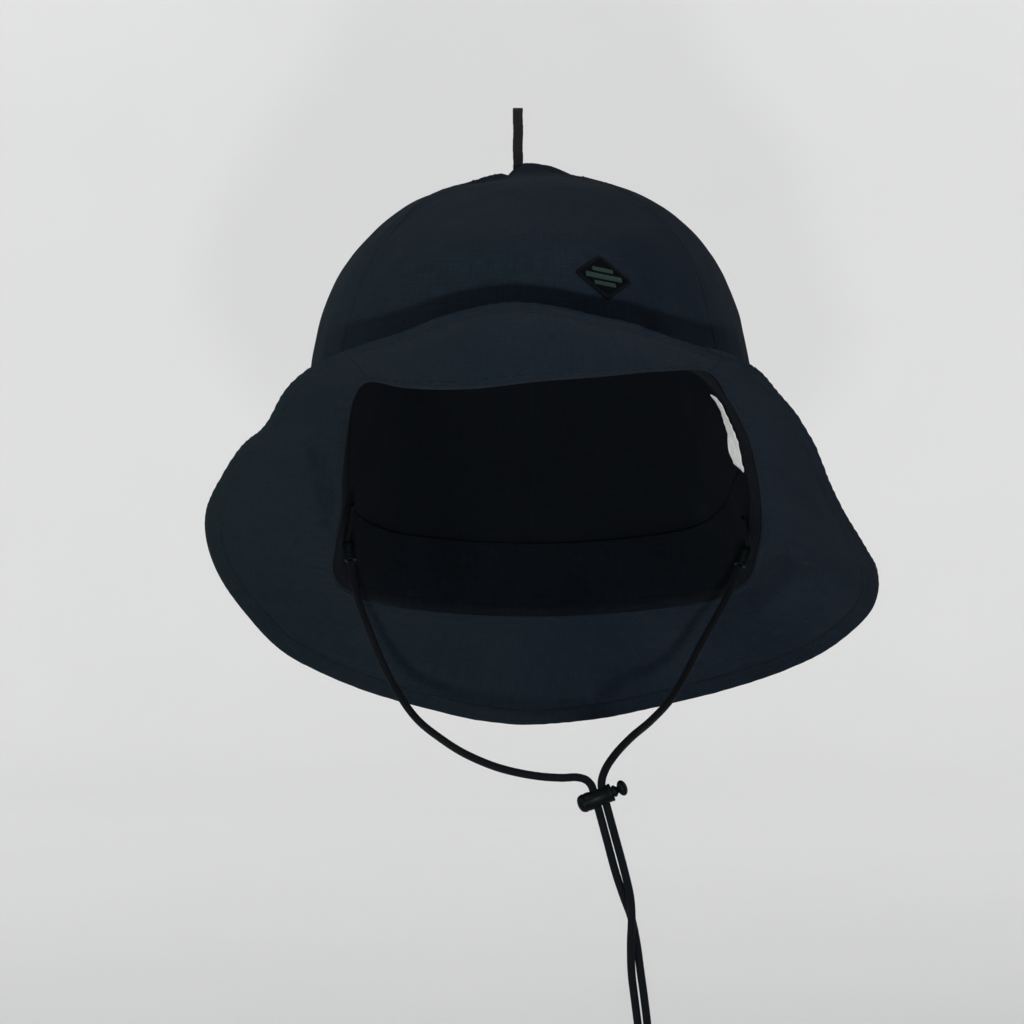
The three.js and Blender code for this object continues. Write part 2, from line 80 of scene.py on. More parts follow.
# ---- the hat's surfaces, as in the CAD
# Stations go round the hat from the front centre towards +X: a point on the head seam, then on the brim's edge
STATIONS = np.array([
    [[0, -100, 49], [-3, -143, 70.5]], [[24, -98, 50.8], [28, -142, 65]], [[47, -89, 53], [54.5, -134, 57.5]],
    [[65, -77, 53], [75.5, -122, 51.5]], [[74, -62, 43.5], [86.5, -105, 43.5]], [[83, -43, 30], [100.5, -84, 27]],
    [[89, -22, 14.5], [112, -60, 6.5]], [[93, 2, -2], [126, -30, -10]], [[93.5, 26, -16], [137.5, 4, -23.5]],
    [[91, 50, -29], [139, 38, -39.5]], [[78, 72, -37], [124, 74, -58]], [[54, 89, -42], [88, 106, -75.5]],
    [[27, 98, -45], [46, 127, -88]], [[0, 100, -46], [0, 134, -93]], [[-31, 96.5, -44.5], [-58, 122, -83]],
    [[-62, 84, -40], [-103, 90, -61.5]], [[-78, 68, -34], [-120, 62, -41.5]], [[-84, 47, -26], [-128, 30, -24]],
    [[-82, 24, -13], [-129.5, 0, -8]], [[-78, 0, 1], [-124, -30, 4.5]], [[-76, -22, 16], [-110, -62, 24]],
    [[-73, -42, 31], [-99, -84, 31]], [[-69, -60, 44], [-86.5, -104, 46.5]], [[-62, -76, 49.6], [-70, -121, 54]],
    [[-47, -88, 47], [-51.5, -133, 60]], [[-24, -98, 46.5], [-26, -141, 67.5]],
], float)
# Rings of the crown: half-width to the right and left, to the front and back, height, fall per Y, rise per X
CROWN_RINGS = [
    (89.3, 89.4, 101, 106, 37, 0.305, 0.01), (82, 79.2, 96, 100, 83, 0.15, 0.01), (69, 68.4, 76, 84, 105, 0.08, 0),
    (50, 48, 46, 62, 122.5, 0.05, 0.01), (26, 26, 18, 40, 131, 0.03, 0.04),
]
APEX = np.array([-3, 12, 138.4])
STATION_COUNT = len(STATIONS)
FRONT_CORNER, SIDE_SEAM, BACK_SEAM, BACK_CENTRE = 3, 4, 9, 13
BRIM_BOW = 4.0
SHELL, TAPE, LINING, BAND, LABEL = 0.8, 0.4, 0.5, 1.0, 0.4
TAPE_DEPTH, LINING_DEPTH, BAND_DEPTH = 1.4, 2.7, 4.7
BAND_HEIGHT = 32.0
# The head seam's half-widths to the left and right and its half-length, seen from above
SEAM_LEFT, SEAM_RIGHT, SEAM_LONG = 93, 80, 100
# Rough lengths round the seam and the brim's edge, which only space the meshes, weaves and puckers
PANEL_ROUND, FOOT_ROUND, BAND_ROUND = 612, 610, 590
BRIM_ROUND, EDGE_ROUND, TAPE_ROUND, BRIM_WEAVE = 620, 800, 850, 700
BRIM_DEEP, FINE_STEP = 48, 2.0

TURNS = STATION_COUNT * 48
RIB_ROWS, RIB_FINE = 161, 241


def unit(v):
    return v / np.maximum(np.linalg.norm(v, axis=-1, keepdims=True), 1e-12)


def lerp(a, b, t):
    return a + (b - a) * t


def smooth(x, low, high):
    t = np.clip((x - low) / (high - low), 0, 1)
    return t * t * (3 - 2 * t)


def swell(distance, width):
    """One at no distance, and fading to nothing beyond about twice the width."""
    return np.exp(-((distance / width) ** 2))


def run_length(points):
    """How far along its line each point is."""
    steps = np.linalg.norm(np.diff(points, axis=0), axis=-1)
    return np.concatenate([np.zeros_like(steps[:1]), np.cumsum(steps, axis=0)])


def pair(a, b):
    """Two grids of numbers as one grid of pairs."""
    return np.stack(np.broadcast_arrays(a, b), axis=-1)


def read_line(values, gone, places):
    return np.stack([np.interp(places, gone, values[:, k]) for k in range(3)], axis=-1)


def spline(points, share, closed):
    """A centripetal Catmull-Rom curve through points, at shares from 0 to 1 of its length in points."""
    points = np.asarray(points, float)
    count = len(points)
    place = np.asarray(share, float) * (count if closed else count - 1)
    first = np.floor(place).astype(int)
    if closed:
        ring = points
        index = [(first + k) % count for k in (-1, 0, 1, 2)]
    else:
        first = np.clip(first, 0, count - 2)
        ring = np.concatenate([[2 * points[0] - points[1]], points, [2 * points[-1] - points[-2]]])
        index = [first + k for k in (0, 1, 2, 3)]
    weight = place - first
    a, b, c, d = (ring[i] for i in index)
    w = weight.reshape(weight.shape + (1,) * (a.ndim - weight.ndim))
    t0, t1, t2 = (np.maximum(np.sqrt(np.linalg.norm(q - p, axis=-1, keepdims=True)), 1e-4)
                  for p, q in ((a, b), (b, c), (c, d)))
    out = ((b - a) / t0 - (c - a) / (t0 + t1) + (c - b) / t1) * t1
    into = ((c - b) / t1 - (d - b) / (t1 + t2) + (d - c) / t2) * t1
    return b + out * w + (-3 * b + 3 * c - 2 * out - into) * w**2 + (2 * b - 2 * c + out + into) * w**3


def ring_points(right, left, front, back, height, fall, rise):
    """One point of a crown ring for each station."""
    seam = STATIONS[:, 0]
    angle = np.arctan2(seam[:, 0] / np.where(seam[:, 0] > 0, SEAM_LEFT, SEAM_RIGHT), -seam[:, 1] / SEAM_LONG)
    x = np.sin(angle) * np.where(seam[:, 0] > 0, left, right)
    y = -np.cos(angle) * np.where(seam[:, 1] < 0, front, back)
    return np.stack([x, y, height - fall * y + rise * x], axis=-1)


def build_crown_tables():
    """The crown's smooth shape on an even grid: points, the way out, mm per turn, and rib lengths."""
    turns = np.arange(TURNS) / TURNS
    loops = [spline(p, turns, True) for p in [STATIONS[:, 0]] + [ring_points(*r) for r in CROWN_RINGS]]
    control = np.stack(loops + [np.broadcast_to(APEX, (TURNS, 3))])
    ribs = spline(control, np.linspace(0, 1, RIB_FINE), False)
    gone = run_length(ribs)
    table = np.empty((RIB_ROWS, TURNS, 3))
    for t in range(TURNS):
        table[:, t] = read_line(ribs[:, t], gone[:, t], np.linspace(0, gone[-1, t], RIB_ROWS))
    along = np.roll(table, -1, axis=1) - np.roll(table, 1, axis=1)
    up = np.gradient(table, axis=0)
    facing = unit(np.cross(along, up))
    top = unit(facing[int(RIB_ROWS * 0.93)].mean(axis=0))
    near_top = smooth(np.linspace(0, 1, RIB_ROWS), 0.9, 0.99)[:, None, None]
    facing = unit(lerp(facing, top, near_top))
    girth = np.linalg.norm(along, axis=-1, keepdims=True) * TURNS / 2
    return table, facing, girth, gone[-1]


CROWN_TABLE, CROWN_FACING, CROWN_GIRTH, RIB_LENGTH = build_crown_tables()
SEAM_LINE = CROWN_TABLE[0]
EDGE_LINE = spline(STATIONS[:, 1], np.arange(TURNS) / TURNS, True)


def sample(table, turn, row=None):
    """Reads a table between its entries. Turns wrap round; rows carry on straight beyond the first and last."""
    place = (np.asarray(turn, float) % 1) * TURNS
    first = np.floor(place).astype(int)
    a = place - first
    low, high = first % TURNS, (first + 1) % TURNS
    if row is None:
        a = a.reshape(a.shape + (1,) * (table.ndim - 1))
        return lerp(table[low], table[high], a)
    j = np.clip(np.floor(row).astype(int), 0, len(table) - 2)
    a, b = a[..., None], (row - j)[..., None]
    return lerp(lerp(table[j, low], table[j, high], a), lerp(table[j + 1, low], table[j + 1, high], a), b)


def rib_length(turn):
    return sample(RIB_LENGTH, turn)


def crown_row(turn, climb):
    return climb / rib_length(turn) * (RIB_ROWS - 1)


def girth(turn, climb):
    return np.maximum(sample(CROWN_GIRTH, turn, np.clip(crown_row(turn, climb), 0, RIB_ROWS - 2))[..., 0], 1.0)


def brim_base(turn, outward):
    out = outward[..., None]
    point = lerp(sample(SEAM_LINE, turn), sample(EDGE_LINE, turn), out)
    point[..., 2] += BRIM_BOW * np.sin(np.pi * outward)
    return point


def brim_facing(turn, outward):
    along = brim_base(turn + 0.004, outward) - brim_base(turn - 0.004, outward)
    out = brim_base(turn, outward + 0.02) - brim_base(turn, outward - 0.02)
    return unit(np.cross(out, along))


def brim_width(turn):
    middle = brim_base(turn, np.full(np.shape(turn), 0.5))
    return 2 * np.linalg.norm(middle - sample(SEAM_LINE, turn), axis=-1)


# ---- folds and ripples in the cloth
def fold(points, path, width, height):
    """A soft ridge along a path, or a valley where height is below zero."""
    path = np.array(path, float)
    nearest = np.full(points.shape[:-1], np.inf)
    for a, b in zip(path[:-1], path[1:]):
        share = np.clip((points - a) @ (b - a) / ((b - a) @ (b - a)), 0, 1)[..., None]
        nearest = np.minimum(nearest, np.linalg.norm(points - a - share * (b - a), axis=-1))
    return height * swell(nearest, width)


def ripple(points, wavelength, seed, waves=9):
    """Smooth unevenness from a few crossing waves, mostly between -1 and 1."""
    draw = np.random.default_rng(seed)
    bent = points + 0.22 * wavelength * np.sin(points[..., [1, 2, 0]] * (2 * np.pi / (1.9 * wavelength)) + seed)
    total = 0
    for _ in range(waves):
        direction = unit(draw.normal(size=3)) * 2 * np.pi / (wavelength * draw.uniform(0.7, 1.5))
        total = total + np.sin(bent @ direction + draw.uniform(0, 2 * np.pi))
    return total / math.sqrt(waves)


CROWN_SEAMS = [SIDE_SEAM, BACK_SEAM, BACK_CENTRE, STATION_COUNT - BACK_SEAM, STATION_COUNT - SIDE_SEAM]
SEAM_SHIFT = {STATION_COUNT - SIDE_SEAM: 0.62, SIDE_SEAM: -0.45}


def seam_turn(station, share):
    """Where a crown seam lies at a share of the way up. The two front seams swing towards the front half way up."""
    swing = SEAM_SHIFT.get(station, 0) * np.sin(np.pi * np.clip(share, 0, 1)) ** 1.5
    return (station + swing) / STATION_COUNT


def seam_distance(turn, climb):
    """Millimetres to the nearest crown seam."""
    share = climb / rib_length(turn)
    around = girth(turn, climb)
    nearest = np.full(np.shape(turn), np.inf)
    for station in CROWN_SEAMS:
        aside = (turn - seam_turn(station, share) + 0.5) % 1 - 0.5
        nearest = np.minimum(nearest, np.abs(aside) * around)
    return nearest


STITCH_ASIDE = 2.4
FOOT_STITCH = 2.8

CROWN_FOLDS = [  # path, width, height
    ([(-3, 10, 139), (5, 10, 138)], 7.0, 2.7),
    ([(10, 9, 137), (22, 6, 133)], 9.0, 0.7),
    ([(-29, 2, 128), (-21, 3, 131), (-15, 4, 133)], 4.6, -3.6),
    ([(-24, 13, 130), (-15, 12, 133)], 6.0, -1.6),
    ([(-28, -9, 128), (-13, -7, 131)], 3.6, 2.4),
    ([(22, 2, 133), (27, 6, 132)], 6.0, -1.8),
    ([(-46, -4, 121), (-34, 0, 128), (-24, 4, 131)], 7.5, -3.2),
    ([(-60, -48, 100), (-44, -40, 116), (-30, -28, 126)], 5.0, 0.8),
    ([(-66, -56, 84), (-52, -50, 106), (-38, -40, 118)], 4.0, -0.8),
    ([(-62, -68, 74), (-46, -66, 92)], 5.0, 0.6),
    ([(-40, -20, 124), (-26, -12, 130)], 4.0, -0.7),
    ([(60, -50, 96), (46, -44, 114)], 6.0, -0.6),
    ([(66, -64, 62), (52, -80, 60), (40, -92, 62)], 7.0, -0.5),
]


def crown_raise(turn, climb):
    """How far the cloth of the crown stands out from its smooth shape."""
    base = sample(CROWN_TABLE, turn, crown_row(turn, climb))
    high = sum(fold(base, *f) for f in CROWN_FOLDS)
    high = high + 0.38 * ripple(base, 46, 1) + 0.12 * ripple(base, 19, 2) - 0.16 * np.abs(ripple(base, 28, 3))
    aside = seam_distance(turn, climb)
    near = swell(aside, 6.0)
    high = high + 0.3 * near - 0.3 * swell(aside - STITCH_ASIDE, 0.8)
    pucker = np.sin(climb * 2 * np.pi / 5.6 + 1.5 * ripple(base, 22, 5)) * (0.6 + 0.4 * ripple(base, 30, 6))
    high = high + 0.14 * near * pucker
    foot = swell(climb, 7.0)
    high = high + 0.16 * foot * np.sin(turn * FOOT_ROUND * 2 * np.pi / 6.3 + 1.8 * ripple(base, 25, 7))
    high = high - 0.3 * swell(climb - FOOT_STITCH, 0.8)
    return high * smooth(climb, -1.0, 4.0)


def crown(turn, climb, depth):
    """A point on the crown: so far round, so far up from the head seam, so deep under the outer face."""
    turn, climb = np.broadcast_arrays(np.asarray(turn, float), np.asarray(climb, float))
    row = crown_row(turn, climb)
    facing = unit(sample(CROWN_FACING, turn, np.clip(row, 0, RIB_ROWS - 1)))
    return sample(CROWN_TABLE, turn, row) + facing * (crown_raise(turn, climb) - depth)[..., None]


def crown_out(turn, climb):
    turn, climb = np.broadcast_arrays(np.asarray(turn, float), np.asarray(climb, float))
    return unit(sample(CROWN_FACING, turn, np.clip(crown_row(turn, climb), 0, RIB_ROWS - 1)))


# Folds of the brim: stations and shares of the way out along each, width, height. Above zero is away from the face.
BRIM_FOLDS = [
    ([(20.3, 0.32), (19.4, 0.12), (18.7, 0.04)], 3.4, 3.2),
    ([(20.4, 0.42), (19.5, 0.22), (18.8, 0.14)], 3.6, -1.8),
    ([(8.4, 0.26), (9.0, 0.18), (9.8, 0.2), (10.8, 0.42)], 7.0, 5.6),
    ([(8.3, 0.36), (9.1, 0.33), (10.0, 0.42)], 4.0, -1.8),
    ([(8.0, 0.28), (8.3, 0.31)], 2.6, -1.9),
]
BRIM_PATHS = [brim_base(np.array(path)[:, 0] / STATION_COUNT, np.array(path)[:, 1]) for path, _, _ in BRIM_FOLDS]


def brim_raise(turn, outward):
    """How far the cloth of the brim stands out from its smooth shape."""
    base = brim_base(turn, outward)
    high = sum(fold(base, path, *size) for path, (_, *size) in zip(BRIM_PATHS, BRIM_FOLDS))
    free = smooth(outward, 0.05, 1.0)
    uneven = 0.85 * ripple(base, 66, 11) + 0.16 * ripple(base, 26, 12)
    high = high + free * uneven - 0.22 * np.abs(ripple(base, 33, 13))
    inward = outward * brim_width(turn)
    near = swell(inward, 9.0)
    high = high + 0.2 * near * np.sin(turn * BRIM_ROUND * 2 * np.pi / 6.1 + 1.8 * ripple(base, 25, 14))
    rim = brim_width(turn) - inward
    tight = swell(rim, 8.0)
    high = high + 0.13 * tight * np.sin(turn * EDGE_ROUND * 2 * np.pi / 5.4 + 1.6 * ripple(base, 22, 15))
    return high * smooth(outward, 0.0, 0.07)


def brim(turn, outward, lift):
    """A point on the brim: so far round, from 0 at the head seam to 1 at the edge, so far above the middle."""
    turn, outward = np.broadcast_arrays(np.asarray(turn, float), np.asarray(outward, float))
    return brim_base(turn, outward) + brim_facing(turn, outward) * (brim_raise(turn, outward) + lift)[..., None]


# ---- meshes
def mesh_object(name, points, faces, uvs=None):
    mesh = bpy.data.meshes.new(name)
    mesh.from_pydata((np.asarray(points).reshape(-1, 3) * MM).tolist(), [], [list(map(int, f)) for f in faces])
    mesh.validate()
    mesh.shade_smooth()
    if uvs is not None:
        layer = mesh.uv_layers.new(name="weave")
        corner = np.empty(len(mesh.loops), int)
        mesh.loops.foreach_get("vertex_index", corner)
        layer.data.foreach_set("uv", (np.asarray(uvs).reshape(-1, 2)[corner] * MM).ravel())
    obj = bpy.data.objects.new(name, mesh)
    bpy.context.collection.objects.link(obj)
    return obj


def quads(i, order="abcd"):
    """The faces between the rows and columns of a grid of point numbers."""
    corners = {"a": i[:-1, :-1], "b": i[:-1, 1:], "c": i[1:, 1:], "d": i[1:, :-1]}
    return np.stack([corners[k] for k in order], axis=-1).reshape(-1, 4)


def ring_grid(rows, columns):
    """Point numbers of a grid whose last column joins its first."""
    i = np.arange(rows * columns).reshape(rows, columns)
    return np.concatenate([i, i[:, :1]], axis=1)


def spaced(length, step, rim=(0.0, 0.14, 0.4, 0.9)):
    """Even places along a length, with a few more near both ends for a rounded rim."""
    count = max(2, round((length - 2 * rim[-1]) / step))
    middle = np.linspace(rim[-1], length - rim[-1], count + 1)
    return np.concatenate([rim[:-1], middle, length - np.array(rim[:-1][::-1])])


def rounding(distance, reach=0.9, least=0.3):
    """How thick a cloth is near its folded border, as a share of its whole thickness."""
    inside = np.clip(distance / reach, 0, 1)
    return least + (1 - least) * np.sqrt(1 - (1 - inside) ** 2)


def shell(name, outer, inner, uvs, wrapped=False):
    """A closed sheet from two grids of points, rows by columns, joined round their border."""
    rows, columns = outer.shape[:2]
    points = np.concatenate([outer.reshape(-1, 3), inner.reshape(-1, 3)])
    i = ring_grid(rows, columns) if wrapped else np.arange(rows * columns).reshape(rows, columns)
    j = i + rows * columns
    rims = [np.stack([i[0, 1:], i[0, :-1], j[0, :-1], j[0, 1:]], axis=-1),
            np.stack([i[-1, :-1], i[-1, 1:], j[-1, 1:], j[-1, :-1]], axis=-1)]
    if not wrapped:
        rims += [np.stack([i[:-1, 0], i[1:, 0], j[1:, 0], j[:-1, 0]], axis=-1),
                 np.stack([i[1:, -1], i[:-1, -1], j[:-1, -1], j[1:, -1]], axis=-1)]
    return mesh_object(name, points, np.concatenate([quads(i), quads(j, "dcba")] + rims), np.concatenate([uvs, uvs]))


def ringed(name, points, uvs, closed_ends=True):
    """A tube from rows of points, each row a ring."""
    i = ring_grid(*points.shape[:2])
    faces = quads(i).tolist()
    if closed_ends:
        faces += [i[0, :-1][::-1].tolist(), i[-1, :-1].tolist()]
    return mesh_object(name, points, faces, uvs)


def tube(name, path, radius, sides=24, relief=None, closed_ends=True):
    """A round tube along a path of points, with a relief added to its radius if one is given."""
    path = np.asarray(path, float)
    radius = np.broadcast_to(radius, len(path))
    ahead = unit(np.gradient(path, axis=0))
    side = np.cross(ahead[0], [0.3, 1, 0.2])
    sides_way = np.empty_like(path)
    for k, way in enumerate(ahead):
        side = unit(side - way * (side @ way))
        sides_way[k] = side
    third = np.cross(ahead, sides_way)
    angle = np.arange(sides) * 2 * np.pi / sides
    gone = run_length(path)
    reach = radius[:, None] + (0 if relief is None else relief(gone[:, None], angle[None]))
    spoke = np.cos(angle)[None, :, None] * sides_way[:, None] + np.sin(angle)[None, :, None] * third[:, None]
    uvs = pair(angle * radius.mean(), gone[:, None])
    return ringed(name, path[:, None] + spoke * reach[..., None], uvs, closed_ends)


def lathe(name, profile, place, axis, sides=48):
    """A turned piece. The profile is (distance along the axis, radius) from end to end, touching the axis at both."""
    profile = np.array(profile, float)
    axis = unit(np.array(axis, float))
    side = unit(np.cross(axis, [0, 1, 0.01]))
    third = np.cross(axis, side)
    angle = np.arange(sides) * 2 * np.pi / sides
    spoke = np.cos(angle)[:, None] * side + np.sin(angle)[:, None] * third
    inner = profile[1:-1]
    points = np.array(place) + axis * inner[:, None, :1] + spoke[None] * inner[:, None, 1:]
    i = ring_grid(len(inner), sides)
    faces = quads(i, "adcb").tolist()
    first, last = len(inner) * sides, len(inner) * sides + 1
    ends = [np.array(place) + axis * profile[0, 0], np.array(place) + axis * profile[-1, 0]]
    faces += [[first, i[0, k], i[0, k + 1]] for k in range(sides)]
    faces += [[last, i[-1, k + 1], i[-1, k]] for k in range(sides)]
    return mesh_object(name, np.concatenate([points.reshape(-1, 3), ends]), faces)


def finish_with(obj, material, nodes, body="hat"):
    """Gives a piece its material, its body, and the CAD nodes that it is shown in place of."""
    obj.data.materials.append(material)
    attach(obj, body)
    if nodes:
        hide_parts(*nodes)


# ---- materials
class Nodes:
    """A short way to write a material's nodes."""

    def __init__(self, name, roughness=0.9, **sockets):
        self.material = bpy.data.materials.new(name)
        self.material.use_nodes = True
        self.tree = self.material.node_tree
        self.shader = self.tree.nodes["Principled BSDF"]
        self.shader.inputs["Roughness"].default_value = roughness
        for key, value in sockets.items():
            self.shader.inputs[key.replace("_", " ")].default_value = value

    def add(self, kind, **settings):
        node = self.tree.nodes.new(kind)
        for key, value in settings.items():
            setattr(node, key, value)
        return node

    def feed(self, socket, value):
        if isinstance(value, (int, float, tuple)):
            socket.default_value = value
        else:
            self.tree.links.new(value, socket)

    def math(self, operation, a, b=0.0):
        node = self.add("ShaderNodeMath", operation=operation)
        self.feed(node.inputs[0], a)
        self.feed(node.inputs[1], b)
        return node.outputs[0]

    def noise(self, scale, detail=3.0, vector=None, stretch=None):
        vector = vector or self.add("ShaderNodeTexCoord").outputs["Object"]
        if stretch:
            mapping = self.add("ShaderNodeMapping")
            mapping.inputs["Scale"].default_value = stretch
            self.feed(mapping.inputs["Vector"], vector)
            vector = mapping.outputs[0]
        node = self.add("ShaderNodeTexNoise")
        node.inputs["Scale"].default_value = scale
        node.inputs["Detail"].default_value = detail
        self.feed(node.inputs["Vector"], vector)
        return node.outputs["Fac"]

    def range(self, value, low, high, from_low=0.0, from_high=1.0):
        node = self.add("ShaderNodeMapRange")
        self.feed(node.inputs["Value"], value)
        for key, number in (("From Min", from_low), ("From Max", from_high), ("To Min", low), ("To Max", high)):
            node.inputs[key].default_value = number
        return node.outputs[0]

    def mix(self, share, a, b):
        node = self.add("ShaderNodeMix", data_type="RGBA")
        self.feed(node.inputs["Factor"], share)
        self.feed(node.inputs["A"], a)
        self.feed(node.inputs["B"], b)
        return node.outputs["Result"]

    def colour(self, value):
        self.feed(self.shader.inputs["Base Color"], value)

    def bump(self, height, strength, distance):
        node = self.add("ShaderNodeBump")
        node.inputs["Strength"].default_value = strength
        node.inputs["Distance"].default_value = distance
        self.feed(node.inputs["Height"], height)
        self.feed(self.shader.inputs["Normal"], node.outputs[0])

    def weave(self, across, along):
        """The height of a plain weave with these thread pitches in metres, over the piece's weave map."""
        split = self.add("ShaderNodeSeparateXYZ")
        self.feed(split.inputs[0], self.add("ShaderNodeUVMap", uv_map="weave").outputs[0])
        u = self.math("MULTIPLY", split.outputs[0], math.pi / across)
        v = self.math("MULTIPLY", split.outputs[1], math.pi / along)
        crossing = self.math("MULTIPLY", self.math("SINE", u), self.math("SINE", v))
        over = self.range(crossing, 0.0, 1.0, -0.25, 0.25)
        warp = self.math("MULTIPLY", self.math("ABSOLUTE", self.math("COSINE", u)), over)
        weft = self.math("ABSOLUTE", self.math("COSINE", v))
        under = self.math("MULTIPLY", weft, self.math("SUBTRACT", 1.0, over))
        return self.math("ADD", warp, under)

    def ribs(self, pitch, turn=0.0):
        """The height of parallel threads at a pitch in metres across the piece's weave map."""
        split = self.add("ShaderNodeSeparateXYZ")
        self.feed(split.inputs[0], self.add("ShaderNodeUVMap", uv_map="weave").outputs[0])
        along = self.math("MULTIPLY", split.outputs[1], math.pi / pitch)
        if turn:
            along = self.math("ADD", along, self.math("MULTIPLY", split.outputs[0], turn * math.pi / pitch))
        return self.math("ABSOLUTE", self.math("SINE", along))


def rgb(r, g, b):
    return (r, g, b, 1.0)


def ink(*parts):
    """A dark colour, its parts in ten-thousandths."""
    return rgb(*(part / 10000 for part in parts))


def cloth(name, dark, pale, across=0.00055, along=0.0005, painted_light_tint=None, strength=0.5, roughness=(0.88, 0.98),
          sheen=0.012, slub=0.5):
    """Woven cloth: threads, uneven dye, thicker threads here and there, and a soft sheen. The low places of the weave
    are painted darker as shade. Where a tint is given, it paints the wearer's right side (towards -X) lighter and
    greener, standing in for light falling on that side.
    """
    n = Nodes(name, Sheen_Weight=sheen, Sheen_Roughness=0.55, Sheen_Tint=rgb(0.72, 0.82, 0.92),
              Specular_IOR_Level=0.025)
    weave = n.weave(across, along)
    map_ = n.add("ShaderNodeUVMap", uv_map="weave").outputs[0]
    threads = n.noise(420, 2, map_, (0.25, 3.5, 1.0))
    cross = n.noise(420, 2, map_, (3.5, 0.25, 1.0))
    slubs = n.math("MULTIPLY", n.math("ADD", threads, cross), 0.5)
    dye = n.noise(17, 4)
    base = n.mix(n.range(dye, 0.0, 1.0, 0.32, 0.68), dark, pale)
    # Painted light: towards the wearer's right (-X) the cloth is mixed into a lighter, greener tint, standing in for
    # light on that side
    if painted_light_tint:
        place = n.add("ShaderNodeSeparateXYZ")
        n.feed(place.inputs[0], n.add("ShaderNodeTexCoord").outputs["Object"])
        lit_side_x = n.math("ADD", place.outputs[0], n.range(n.noise(9, 2), -0.06, 0.06))
        base = n.mix(n.range(lit_side_x, 0.75, 0.0, -0.13, 0.03), base, painted_light_tint)
    # Painted shade: the weave's low places are darker; the thicker threads add real uneven tone
    fleck_and_weave_shade = n.math("ADD", n.range(slubs, 0.82, 1.2, 0.35, 0.65), n.range(weave, -0.16, 0.12))
    shade = n.add("ShaderNodeVectorMath", operation="SCALE")
    n.feed(shade.inputs[0], base)
    n.feed(shade.inputs["Scale"], fleck_and_weave_shade)
    n.colour(shade.outputs[0])
    n.feed(n.shader.inputs["Roughness"], n.range(n.noise(60, 3), *roughness))
    n.bump(n.math("ADD", n.math("MULTIPLY", weave, strength), n.math("MULTIPLY", slubs, slub)), 0.55, 0.00022)
    return n.material


# The third colour of the shell, under and binding cloths is painted light, mixed in towards -X
SHELL_CLOTH = cloth("shell_cloth", ink(72, 118, 190), ink(106, 160, 242), painted_light_tint=ink(98, 178, 205))
UNDER_CLOTH = cloth("under_cloth", ink(76, 122, 195), ink(110, 165, 248), painted_light_tint=ink(98, 180, 212))
BINDING_CLOTH = cloth("binding_cloth", ink(66, 106, 164), ink(94, 142, 206), 0.0005, 0.00045,
                      painted_light_tint=ink(98, 178, 208))
# The lining and the sweatband are a dark navy, painted darker still to stand in for the shade inside the hat
SHADED_LINING_CLOTH = cloth("lining_cloth", ink(28, 40, 58), ink(42, 56, 78), 0.00035, 0.00035,
                     roughness=(0.7, 0.85), sheen=0.02, slub=0.25)
SHADED_BAND_CLOTH = cloth("band_cloth", ink(30, 42, 62), ink(46, 60, 84), 0.0009, 0.0006, strength=0.8)
INNER_CLOTH = cloth("inner_cloth", rgb(0.02, 0.023, 0.027), rgb(0.026, 0.029, 0.033), 0.0007, 0.0007)
LOOP_CLOTH = cloth("loop_cloth", ink(150, 128, 125), ink(235, 208, 205), 0.0007, 0.00045,
                   strength=1.0, sheen=0.06, slub=0.4)
TAB_CLOTH = cloth("tab_tape", ink(30, 34, 40), ink(52, 56, 64), 0.0007, 0.00045, strength=1.0)
LABEL_CLOTH = cloth("label_cloth", rgb(0.60, 0.60, 0.59), rgb(0.70, 0.70, 0.69), 0.0003, 0.00025, strength=0.4,
                    roughness=(0.45, 0.6), sheen=0.1, slub=0.2)
PATCH_CLOTH = cloth("patch_cloth", ink(12, 24, 38), ink(22, 38, 56), 0.00045, 0.00045, strength=0.9)


def thread(name, dark, pale, pitch=0.00035, turn=0.0, sheen=0.04):
    n = Nodes(name, 0.7, Sheen_Weight=sheen, Sheen_Roughness=0.45, Specular_IOR_Level=0.1)
    ribs = n.ribs(pitch, turn)
    # Painted shade: the grooves between the plies are darker and the crests paler, with uneven dye over it
    n.colour(n.mix(n.math("MULTIPLY", ribs, n.range(n.noise(90, 3), 0.7, 1.25)), dark, pale))
    n.bump(ribs, 0.7, 0.00012)
    n.feed(n.shader.inputs["Roughness"], n.range(n.noise(150, 2), 0.5, 0.75))
    return n.material


STITCH_THREAD = thread("stitch_thread", ink(60, 96, 150), ink(112, 162, 240), sheen=0.01)
BORDER_THREAD = thread("border_thread", ink(6, 10, 15), ink(17, 26, 35), 0.0004, 0.6, 0.0)
MOTIF_THREAD = thread("motif_thread", ink(100, 200, 170), ink(250, 460, 390))


def cord_material():
    n = Nodes("braided_cord", 0.75, Sheen_Weight=0.015, Sheen_Roughness=0.5, Specular_IOR_Level=0.06)
    braid = n.math("MAXIMUM", n.ribs(0.0009, 0.8), n.ribs(0.0009, -0.8))
    # Painted shade: the grooves between the braid's strands are darker and the strand tops paler, with uneven dye
    # over it
    n.colour(n.mix(n.math("MULTIPLY", braid, n.range(n.noise(200, 3), 0.6, 1.3)), ink(10, 16, 24),
                   ink(34, 48, 66)))
    n.bump(n.math("ADD", braid, n.math("MULTIPLY", n.ribs(0.00028, 0.8), 0.25)), 0.6, 0.0002)
    n.feed(n.shader.inputs["Roughness"], n.range(n.noise(300, 2), 0.55, 0.8))
    return n.material


